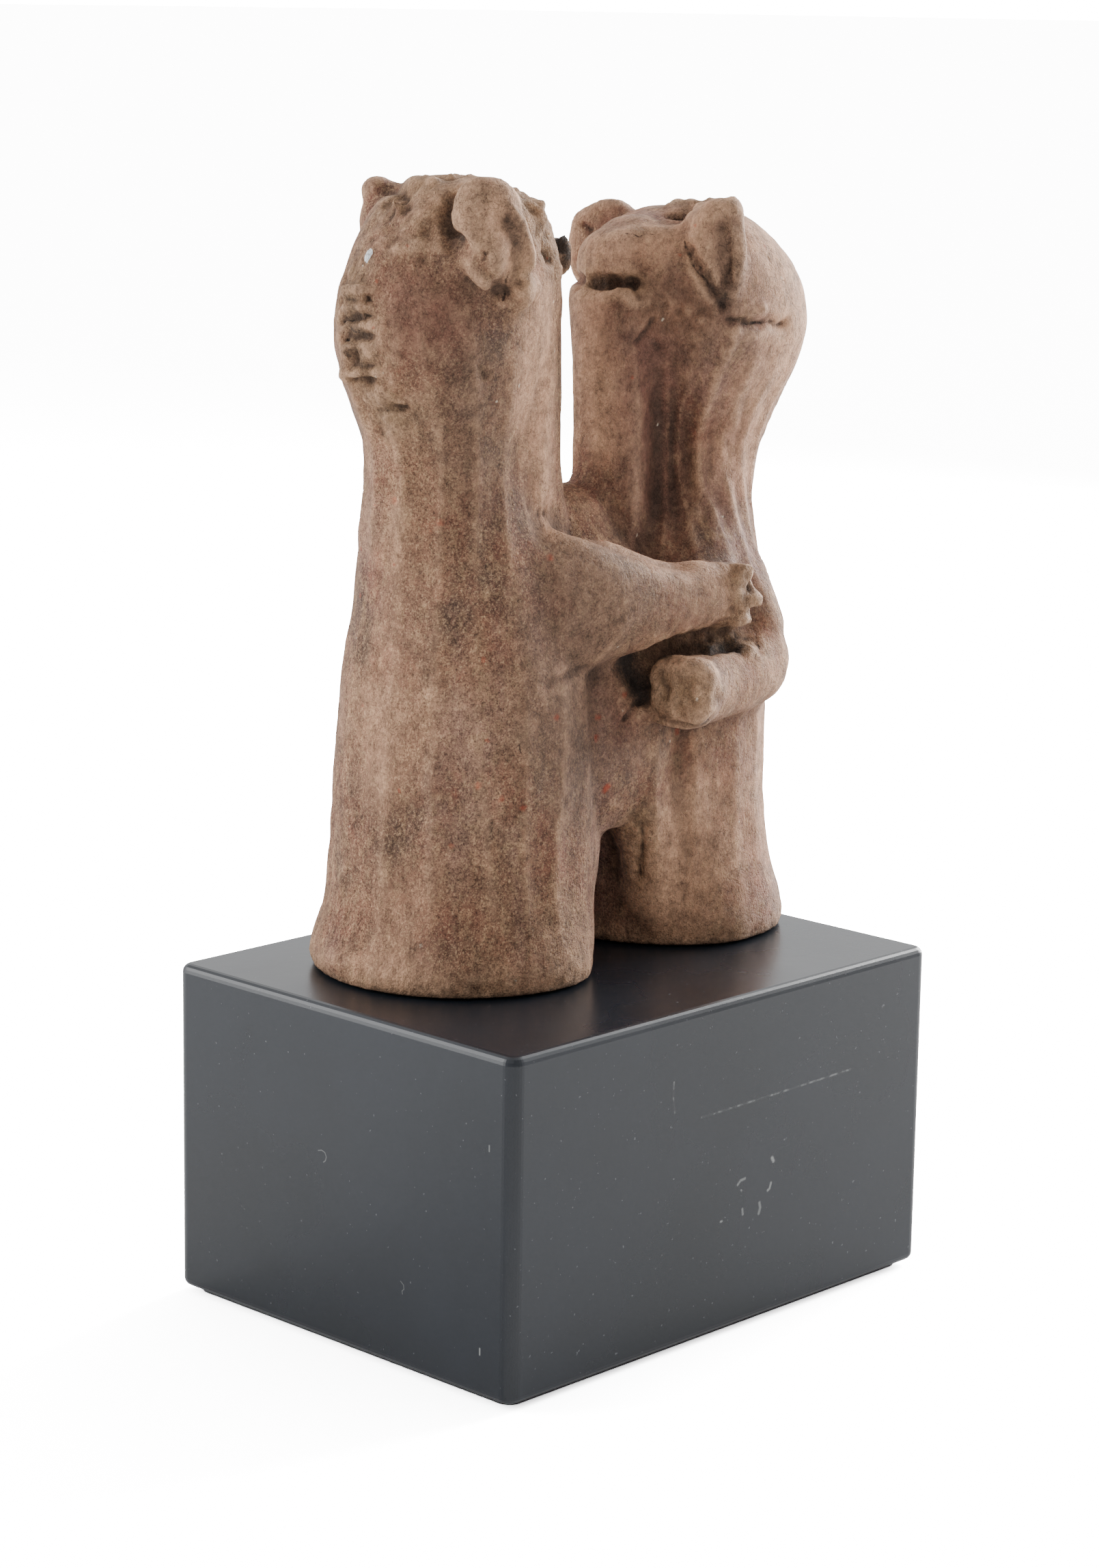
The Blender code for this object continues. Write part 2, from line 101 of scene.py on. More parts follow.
# Clay added to the plain form, in world mm: what a finger or blade left standing, and stumps of old breaks
added_clay = [
    # The shorter figure's near ear: a folded flap with its ridge upright
    clay_roll(((23.8, -10.8, 162.8), (23.3, -10.8, 158), (24.4, -10.4, 152), (24.8, -9.8, 147.5)),
              ((0.7, 0.8), (1.0, 1.9), (1.1, 2.1), (0.9, 1.3)), up=(0.7, 0.7, 0)),
    # The slope of clay between its eye and that ear
    round_lump((23.2, -6.6, 158.8), (4.2, 4.2, 3.0), turn=-36),
    # The bridge of its nose
    round_lump((19.2, 4.2, 155.6), (6.0, 6.8, 4.4)),
    # Its cheek, carried flush from the nose back to the ear
    round_lump((17.3, 0.0, 153.4), (9.2, 3.7, 5.4), turn=-46, power=2.3),
    round_lump((20.6, -2.6, 155.3), (4.6, 3.9, 3.5), turn=-46),
    # What is left in its mouth
    clay_roll(((10.4, 6.4, 150.4), (11.6, 3.6, 150.2), (13.2, 1.4, 150.4), (15.0, -0.4, 150.5)),
              ((1.0, 0.9), (1.2, 1.1), (1.2, 1.1), (1.2, 1.1))),
    # The curled outer rim of the taller figure's near ear, the flap inside it, and the knob under it
    clay_roll(((-23.8, -10.6, 164.0), (-21.9, -11.0, 161.4), (-19.6, -10.4, 158.5),
               (-19.2, -10.8, 155.4), (-19.9, -10.6, 153.6)),
              ((0.9, 0.9), (1.2, 1.2), (1.3, 1.3), (1.3, 1.3), (0.9, 1.0)), up=(0.7, 0.7, 0)),
    round_lump((-22.4, -9.9, 158.4), (3.6, 1.5, 5.0), turn=-12),
    clay_roll(((-27.8, -6.2, 159.8), (-26.9, -8.0, 157.4), (-25.4, -8.7, 154.8), (-23.4, -8.4, 152.2)),
              ((1.5, 1.5), (1.8, 1.8), (1.7, 1.7), (1.2, 1.3)), up=(0.7, 0.7, 0)),
    round_lump((-22.6, -8.8, 154.4), (2.2, 1.9, 2.6), turn=-30),
    round_lump((-19.3, -8.2, 151.6), (3.2, 2.6, 3.6), turn=-36),
    # The stumps of the taller figure's fingers
    round_lump((23.0, -14.4, 108.2), (1.7, 1.6, 1.5), power=2.6),
    round_lump((24.6, -14.8, 104.2), (2.2, 1.4, 1.2), turn=-38, lean=10, power=3.2),
    round_lump((23.2, -14.0, 101.0), (1.6, 1.6, 1.3), power=2.6),
    # The hand of the shorter figure: a squared-off end of clay
    round_lump((10.6, -14.6, 91.8), (3.4, 5.6, 5.3), turn=17, power=3.0),
    # A little tab of clay pressed down beside it
    round_lump((6.4, -9.4, 88.2), (2.6, 1.7, 1.7), turn=-40, lean=-20),
    # Brow, cheek and muzzle of the taller figure
    round_lump((-11.0, -2.2, 161.2), (3.2, 3.0, 2.8), turn=-30, power=2.4),
    round_lump((-16.6, -7.2, 151.6), (2.9, 1.5, 2.2), turn=-20),
    # Burnt, crumbling lumps on its mouth
    round_lump((1.2, 3.8, 156.4), (1.6, 1.7, 1.5), turn=30, power=2.6),
    round_lump((1.7, 3.3, 156.5), (1.3, 1.4, 1.5), turn=-20, power=3.2),
    round_lump((1.4, 3.5, 154.9), (1.9, 1.8, 1.5), turn=50, lean=20, power=3.0),
    round_lump((1.4, 3.5, 153.2), (1.6, 1.6, 1.7), turn=10, lean=-25, power=2.8),
    round_lump((0.6, 4.3, 155.4), (2.0, 2.2, 1.8), turn=-30, power=2.6),
    # The tip of its far ear
    round_lump((-20.2, 18.8, 163.9), (2.5, 2.5, 2.3)),
]
# Coiled ridges up the nape of the taller figure
for height, back, half in (
    (151.2, 0.3, 1.0), (149.0, 0.4, 1.0), (146.4, 0.6, 1.25), (143.7, 0.5, 0.8), (139.6, 0.4, 0.9),
):
    added_clay.append(
        clay_roll(((-32.4 - back, 13.6, height - 1.2), (-34.4 - back, 9.5, height - 0.3),
                   (-34.9 - back, 4.6, height)),
                  ((0.5, half), (0.8, half), (0.7, 0.9 * half)))
    )
# Rough lumps on the crowns
for centre, half in (
    ((-21.6, 6.4, 165.6), 2.0), ((-18.4, 5.6, 165.9), 2.0), ((-15.4, 4.6, 165.6), 1.8),
    ((-22.0, 10.6, 165.0), 1.6), ((-27.6, 7.0, 163.2), 1.5), ((27.2, 3.6, 160.9), 1.8),
    ((28.2, 0.8, 161.2), 1.9), ((28.8, -2.2, 161.4), 1.9), ((26.6, -5.2, 161.4), 1.8),
    ((24.8, -3.4, 161.0), 1.5),
):
    added_clay.append(round_lump(centre, (half * 1.25, half, half * 0.62), turn=35 * half, power=2.4))

# The plain form, with the added clay lapping into it, made one skin of small even squares
shell = bmesh.new()
shell.from_mesh(clay_node.data)
bmesh.ops.remove_doubles(shell, verts=shell.verts, dist=1e-6)
plain = bpy.data.meshes.new("plain_form")
shell.to_mesh(plain)
shell.free()
points = np.empty(len(plain.vertices) * 3)
plain.vertices.foreach_get("co", points)
points = [points.reshape(-1, 3)]
corners = np.empty(len(plain.loops), int)
plain.loops.foreach_get("vertex_index", corners)
faces = corners.reshape(-1, 3).tolist()
count = len(points[0])
for grid in added_clay:
    faces += grid_faces(grid.shape[0], grid.shape[1], count)
    points.append(grid.reshape(-1, 3) * MM)
    count += grid.shape[0] * grid.shape[1]
rough = bpy.data.meshes.new("rough_clay")
rough.from_pydata(np.vstack(points).tolist(), [], faces)
whole = bmesh.new()
whole.from_mesh(rough)
bmesh.ops.recalc_face_normals(whole, faces=whole.faces)
whole.to_mesh(rough)
whole.free()
worker = bpy.data.objects.new("rough_clay", rough)
bpy.context.scene.collection.objects.link(worker)
remesh = worker.modifiers.new("one_skin", "REMESH")
remesh.mode = "VOXEL"
remesh.voxel_size = SKIN_GRAIN * MM
bpy.context.view_layer.update()
skin = bpy.data.meshes.new_from_object(worker.evaluated_get(bpy.context.evaluated_depsgraph_get()))
bpy.data.objects.remove(worker, do_unlink=True)

place = np.empty(len(skin.vertices) * 3)
skin.vertices.foreach_get("co", place)
place = place.reshape(-1, 3) / MM
edges = np.empty(len(skin.edges) * 2, int)
skin.edges.foreach_get("vertices", edges)
edges = edges.reshape(-1, 2)
links = np.bincount(edges.ravel(), minlength=len(place))
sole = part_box("double_figure")[0].z / MM


def spread(values, rounds):
    """Each point's value moved half way to the mean of its neighbours, so many times over."""
    for _ in range(rounds):
        total = np.zeros_like(values)
        for k in range(values.shape[1]):
            total[:, k] = np.bincount(edges[:, 0], values[edges[:, 1], k], len(values)) + np.bincount(
                edges[:, 1], values[edges[:, 0], k], len(values)
            )
        values = 0.5 * values + 0.5 * total / links[:, None]
    return values


def outward(points):
    """Unit normals at the points: for each, the cross products of the diagonals of its squares, added up."""
    corners = np.empty(len(skin.loops), int)
    skin.loops.foreach_get("vertex_index", corners)
    squares = corners.reshape(-1, 4)
    first, second, third, fourth = (points[squares[:, c]] for c in range(4))
    cross = np.cross(third - first, fourth - second)
    total = np.zeros_like(points)
    for k in range(3):
        total[:, k] = sum(np.bincount(squares[:, c], cross[:, k], len(points)) for c in range(4))
    return total / np.maximum(np.linalg.norm(total, axis=1), 1e-9)[:, None]


def lattice(points, spacing, seed):
    """Random heights from -1 to 1 on a cubic lattice of that spacing in mm, joined by smooth steps."""
    table = np.random.default_rng(seed).random((32, 32, 32))
    cell = points / spacing + 320
    low = np.floor(cell).astype(int)
    t = cell - low
    t = t * t * (3 - 2 * t)
    height = np.zeros(len(points))
    for corner in range(8):
        step = np.array(((corner >> 0) & 1, (corner >> 1) & 1, (corner >> 2) & 1))
        at = (low + step) % 32
        height += np.where(step, t, 1 - t).prod(1) * table[at[:, 0], at[:, 1], at[:, 2]]
    return 2 * height - 1


def reach(path):
    """Each point's distance in mm from a broken line."""
    path = np.array(path, float).reshape(-1, 3)
    nearest = np.linalg.norm(place - path[0], axis=1)
    for start, end in zip(path, path[1:]):
        along = end - start
        t = np.clip((place - start) @ along / (along @ along), 0, 1)
        nearest = np.minimum(nearest, np.linalg.norm(place - start - t[:, None] * along, axis=1))
    return nearest


def near(path, width):
    """A soft mask round a broken line or a point: 1 on it, falling as a bell curve of that width in mm."""
    return np.exp(-((reach(path) / width) ** 2))


def patches(rows):
    """Soft masks added together. A row is (weight, half width in mm, line in world mm)."""
    return sum(weight * near(path, width) for weight, width, path in rows)


# The marks of the squares are smoothed away, and some of the sharpness lost is put back. The sole stays.
SMOOTHING = 3
SHARPENING = 0.55
flat = place[:, 2] < sole + 0.01
smooth = spread(place, SMOOTHING)
smooth = smooth + (smooth - spread(smooth, SMOOTHING)) * SHARPENING
place = np.where(flat[:, None], place, smooth)

# The shorter figure's hand is broken off nearly flat: what stands past the break is pressed back to it
BREAK_AT = (5.4, -15.9, 91.6)
BREAK_FACES = np.array((-0.905, -0.424, 0.03))
HAND_AT = (8.0, -15.0, 91.8)
HAND_REACH = 9.0
BREAK_FLATNESS = 0.9
on_hand = np.linalg.norm(place - HAND_AT, axis=1) < HAND_REACH
past = np.clip((place - BREAK_AT) @ BREAK_FACES, 0, None) * on_hand
place = place - BREAK_FLATNESS * BREAK_FACES * past[:, None]

# All relief below is a push along the normal, in mm. It starts at the flat sole and is whole 1.5 mm up.
lift = outward(place)
height = place[:, 2]
off_sole = np.clip((height - sole) / 1.5, 0, 1)

# Hand unevenness, broad and then finer
push = 0.22 * lattice(place, 12.0, 3) + 0.13 * lattice(place, 5.5, 4) + 0.07 * lattice(place, 2.6, 5)


def pared(axis, strips, depth, seed):
    """Flats left by a blade drawn upwards, as heights in mm.

    The turn round an upright axis is cut into strips that wander a little. Across a strip the height follows
    the square of the distance from its middle, so the edges stand up. It is patchy, as some were rubbed out.
    """
    turn = np.arctan2(place[:, 1] - axis[1], place[:, 0] - axis[0]) / (2 * np.pi) * strips
    turn = turn + 0.5 * lattice(place * (1, 1, 0.25), 14.0, seed)
    across = 2 * (turn - np.floor(turn)) - 1
    patchy = np.clip(0.55 + 0.9 * lattice(place * (1, 1, 0.3), 16.0, seed + 1), 0, 1.2)
    return depth * (across**2 - 0.4) * patchy


def between(low, high, fade):
    """1 where a point lies between two heights in mm, falling to 0 over the fade inside either of them."""
    return np.clip((height - low) / fade[0], 0, 1) * np.clip((high - height) / fade[1], 0, 1)


# The blade went over bodies and necks and not along the arms. The axes stand upright in the two figures.
TALL_AXIS = (-14.0, 6.5)
SHORT_AXIS = (26.0, 4.5)
SHORT_NECK_AXIS = (29.0, 4.5)
tall_side = np.clip((5.5 - place[:, 0]) / 6 + 0.5, 0, 1)
arms = patches((
    (1.0, 6.5, ((-2.0, -6.0, 113.0), (5.5, -10.0, 108.0), (14.0, -12.0, 105.5), (23.0, -13.5, 105.0))),
    (1.0, 6.5, ((9.0, -15.0, 91.0), (20.0, -16.0, 92.0), (36.0, -9.0, 96.0))),
))
clear = np.clip(1 - 1.8 * arms, 0, 1)
bodies = between(56, 142, (10, 10)) * clear
necks = between(108, 150, (8, 10)) * clear
push += bodies * tall_side * pared(TALL_AXIS, strips=17, depth=0.62, seed=11)
push += bodies * (1 - tall_side) * pared(SHORT_AXIS, strips=19, depth=0.56, seed=17)
push += necks * (1 - tall_side) * pared(SHORT_NECK_AXIS, strips=12, depth=0.22, seed=23)
push += necks * tall_side * pared(TALL_AXIS, strips=17, depth=0.40, seed=29)

# Strokes and dents: a path in world mm, its half width, and its depth. Depths below nothing stand proud.
WORKED = (
    # The taller figure: the crevice behind its near ear, the valley under it, and the ridge of the cheek
    (((-24.6, -0.9, 164.6), (-26.2, -1.5, 161.5), (-27.4, -4.0, 159.2), (-29.0, -6.3, 158.2)), 1.3, 1.5),
    (((-29.0, -6.8, 157.6), (-28.3, -8.8, 155.8), (-26.2, -10.3, 153.4), (-22.5, -8.6, 151.4)), 1.5, 0.9),
    (((-31.4, 3.0, 157.1), (-29.5, -1.5, 157.6), (-28.0, -4.6, 155.9), (-26.4, -8.8, 152.3),
      (-22.0, -7.6, 149.8)), 1.2, -0.7),
    (((-23.6, -11.0, 161.6), (-22.2, -11.4, 158.6), (-21.8, -11.2, 156.2)), 1.9, 0.8),
    (((-20.9, -9.6, 152.6), (-20.9, -8.4, 151.2), (-20.6, -7.3, 149.8)), 0.6, 0.6),
    (((-17.6, -9.0, 152.6), (-17.2, -8.6, 150.6)), 0.6, 0.4),
    (((-27.1, -9.8, 156.9), (-26.9, -9.8, 156.0)), 0.5, 0.7),
    (((-9.5, -4.8, 156.4), (-9.2, -4.9, 155.0)), 0.6, 1.1),
    (((-10.5, -5.9, 157.4), (-10.0, -5.8, 155.6)), 0.8, 1.2),
    (((-12.6, -6.2, 158.6), (-11.8, -6.1, 156.4)), 0.8, 0.7),
    (((0.1, 1.6, 155.8), (0.6, 4.4, 155.6)), 0.7, 0.9),
    (((-34.0, 12.4, 149.2), (-35.0, 8.0, 150.0), (-35.2, 4.6, 150.3)), 0.5, 1.2),
    (((-34.6, 11.4, 146.8), (-35.4, 7.6, 147.5), (-35.8, 4.0, 147.8)), 0.55, 1.3),
    (((-35.2, 10.6, 144.1), (-35.9, 7.0, 144.7), (-36.0, 3.4, 145.1)), 0.55, 1.3),
    (((-35.4, 9.0, 140.4), (-35.4, 2.6, 140.9)), 0.5, 0.8),
    (((-35.0, 9.0, 138.2), (-34.6, 2.4, 138.8)), 0.45, 0.8),
    (((-35.5, 8.1, 142.0),), 0.9, 1.8),
    (((-35.4, 9.6, 145.5),), 0.8, 1.0),
    (((-35.6, 10.0, 141.0), (-35.3, 3.0, 141.6)), 0.9, 0.5),
    (((-35.2, 9.0, 137.6), (-34.6, 2.6, 138.0)), 0.7, 0.55),
    (((-33.1, 5.2, 134.2), (-33.0, 3.8, 134.6), (-32.8, 2.2, 135.1), (-31.9, 0.8, 134.9)), 0.6, 0.9),
    (((-32.4, 7.6, 155.7),), 1.4, -0.4),
    (((-26.0, 11.0, 162.6), (-28.4, 7.6, 161.6), (-28.0, 5.0, 162.4)), 1.1, 0.8),
    (((-27.2, 6.4, 163.8), (-24.8, 10.6, 165.2), (-22.0, 15.0, 165.2)), 1.7, 1.4),
    # The top of its near arm, hollowed where it leaves the chest
    (((-3.6, -5.6, 117.0), (0.3, -9.6, 114.8), (5.5, -11.0, 112.6), (12.7, -11.6, 111.0)), 2.8, 1.6),
    (((-24.1, -6.6, 140.7), (-23.3, -6.6, 139.4)), 0.6, 0.5),
    (((-9.4, -4.0, 118.9),), 0.6, 0.7),
    (((-7.7, -3.6, 118.7),), 0.6, 0.7),
    # The shorter figure: eye, the fold under its near ear, the notched line behind, mouth, throat and collar
    (((22.6, 1.0, 160.4), (23.8, -0.3, 160.2), (24.6, -1.8, 160.1)), 1.0, 0.9),
    (((23.5, 0.0, 160.1), (24.2, -0.9, 160.0)), 0.95, 3.0),
    (((18.2, -6.9, 155.6), (18.8, -8.3, 153.2), (20.0, -9.2, 150.8), (22.8, -10.0, 147.2)), 0.85, 1.1),
    (((21.4, -10.4, 158.6), (22.2, -10.8, 153.6), (22.8, -10.6, 150.2)), 1.9, 1.0),
    (((23.1, -11.0, 159.6), (22.9, -11.2, 155.0), (23.0, -10.8, 150.8)), 1.3, 1.0),
    (((24.2, -10.1, 145.2), (26.4, -10.9, 144.8), (29.7, -11.4, 144.6), (31.5, -11.5, 145.0),
      (34.2, -11.2, 143.8), (36.0, -11.0, 144.2)), 0.75, 0.8),
    (((24.6, -10.1, 143.2), (28.0, -11.2, 142.4), (31.6, -11.5, 143.2)), 1.0, -0.3),
    (((29.8, -11.5, 146.7),), 0.6, -0.7),
    (((8.6, 9.8, 150.6), (10.4, 3.4, 150.9), (12.0, 0.8, 151.1), (13.6, -1.2, 151.2)), 1.5, 0.45),
    (((8.6, 9.8, 149.5), (10.4, 3.4, 149.8), (12.2, 0.6, 150.1), (13.6, -1.4, 150.6)), 0.6, 0.45),
    (((13.2, -0.9, 150.7),), 0.8, 1.2),
    (((9.2, 1.7, 148.6), (12.4, -1.5, 148.6)), 0.9, -0.35),
    (((11.2, 4.1, 152.0), (13.4, -0.8, 152.2)), 0.9, -0.3),
    (((15.3, -2.6, 145.0), (14.6, -2.0, 143.3), (13.6, -1.5, 141.8)), 0.45, 0.6),
    (((15.9, -2.1, 141.9), (17.1, -2.4, 140.7)), 0.4, 0.4),
    (((15.8, -1.6, 139.9), (17.4, -0.3, 133.6), (20.3, 1.1, 127.1), (21.0, 0.7, 119.0)), 3.6, 0.4),
    (((25.3, -10.5, 144.3), (25.0, -9.6, 141.3), (24.6, -7.4, 137.3), (25.2, -5.2, 133.5),
      (26.2, -3.6, 129.2), (26.2, -3.0, 122.9), (23.6, -5.0, 116.0)), 0.9, -0.55),
    (((27.4, -5.4, 131.3), (27.6, -4.6, 120.9), (24.6, -7.6, 112.3)), 0.8, -0.25),
    (((30.4, -6.6, 131.3), (31.2, -5.5, 120.9), (28.6, -8.0, 112.2)), 0.8, -0.3),
    (((17.4, 5.2, 157.3), (17.8, 1.4, 157.2), (19.6, -1.0, 157.5)), 0.6, 0.25),
    (((12.9, 1.3, 153.8), (14.9, -0.7, 153.5), (16.9, -3.0, 153.2)), 0.6, 0.3),
    (((24.3, 18.8, 157.0),), 0.7, 0.8),
    (((23.9, 19.9, 157.6),), 0.6, 0.7),
    # The dark slot between the arms, the hand and the folds beside it
    (((7.6, -8.4, 97.6), (9.4, -10.0, 98.4), (13.0, -11.6, 98.2), (18.0, -13.0, 97.4),
      (23.0, -13.8, 97.2)), 1.4, 1.6),
    (((5.6, -8.8, 95.4), (7.6, -9.0, 92.4)), 1.8, 0.9),
    (((25.1, -12.3, 98.2), (28.0, -13.3, 97.6), (27.0, -15.0, 95.4)), 0.5, 0.5),
    (((8.0, -14.8, 90.9), (9.6, -16.9, 92.3), (11.4, -18.9, 93.8)), 0.8, -0.5),
    (((7.4, -13.6, 93.4), (9.4, -16.2, 94.6)), 1.3, 0.7),
    (((9.2, -16.2, 90.0), (11.2, -18.6, 91.2)), 1.3, 0.8),
    (((6.6, -13.2, 87.9), (8.6, -16.3, 86.9), (11.6, -18.8, 88.0)), 0.7, 0.6),
    (((3.3, -9.8, 87.8), (5.0, -9.5, 89.5), (7.0, -9.8, 90.2)), 0.5, 0.7),
    (((-14.7, -11.3, 95.4), (-11.1, -11.0, 96.1), (-4.8, -9.6, 96.5)), 0.7, 0.45),
    (((24.2, -15.4, 106.3),), 0.8, 1.1),
    (((24.4, -14.8, 102.5),), 0.7, 1.0),
    (((21.0, -15.4, 106.0), (21.9, -15.4, 104.1), (23.2, -14.6, 101.2)), 0.6, -0.3),
    # The gap between the feet
    (((8.4, -9.0, 71.2), (9.6, -8.1, 67.2), (10.1, -6.6, 62.9)), 0.5, 0.7),
    (((7.6, -8.6, 69.4),), 1.1, -0.4),
)
for path, width, depth in WORKED:
    ragged = 0.4 if width < 1.6 else 0.1
    push -= depth * near(path, width) * (1 + ragged * lattice(place, 1.3, 41))

# Crumbling: the crest, the crowns, the broken fingers, the mouths and the worn rims of the feet
CRUMBLING = (
    (1.0, 5.0, ((-34.5, 11, 152), (-35.6, 7, 146), (-35.0, 6, 138), (-32.6, 4, 134))),
    (1.0, 5.5, ((-27, 9, 165), (-22, 6, 167), (-13, 3, 165))),
    (1.0, 4.5, ((-11, -4, 162), (-8, -3, 156))),
    (0.6, 4.5, ((-27, -2, 162), (-31, 2, 158))),
    (0.6, 4.0, ((14, 0, 147), (20, -7, 146))),
    (1.2, 3.0, ((1.0, 2.5, 157), (1.5, 3, 153))),
    (1.0, 3.0, ((27, 4, 161.5), (30, -3, 161.5))),
    (0.9, 2.0, ((9, 6, 150.3), (13, -1, 150.5))),
    (1.2, 3.2, ((22.5, -15, 109), (23.5, -14.5, 100))),
    (1.0, 3.0, ((-20, -10, 154), (-18, -8, 150))),
    (0.7, 2.5, ((8, -9, 72), (10, -7, 62))),
    (1.1, 4.2, ((7.5, -13.5, 92), (10.5, -18, 92))),
    (1.0, 2.8, ((10, -10, 98.4), (24, -13.8, 97.2))),
)
crumbled = np.clip(patches(CRUMBLING) + 0.6 * np.clip(1 - (height - sole) / 4.0, 0, 1), 0, 1)
push += crumbled * (0.55 * lattice(place, 2.1, 51) + 0.50 * lattice(place, 1.2, 52) - 0.14)
push += 0.06 * lattice(place, 1.4, 53)
pits = np.clip(lattice(place, 1.25, 61) - 0.62, 0, 1)
push -= 0.5 * pits * (0.6 + crumbled)

place = place + lift * (push * off_sole)[:, None]
place = np.where(flat[:, None], place, 0.75 * place + 0.25 * spread(place, 1))
place[:, 2] = np.maximum(place[:, 2], sole)

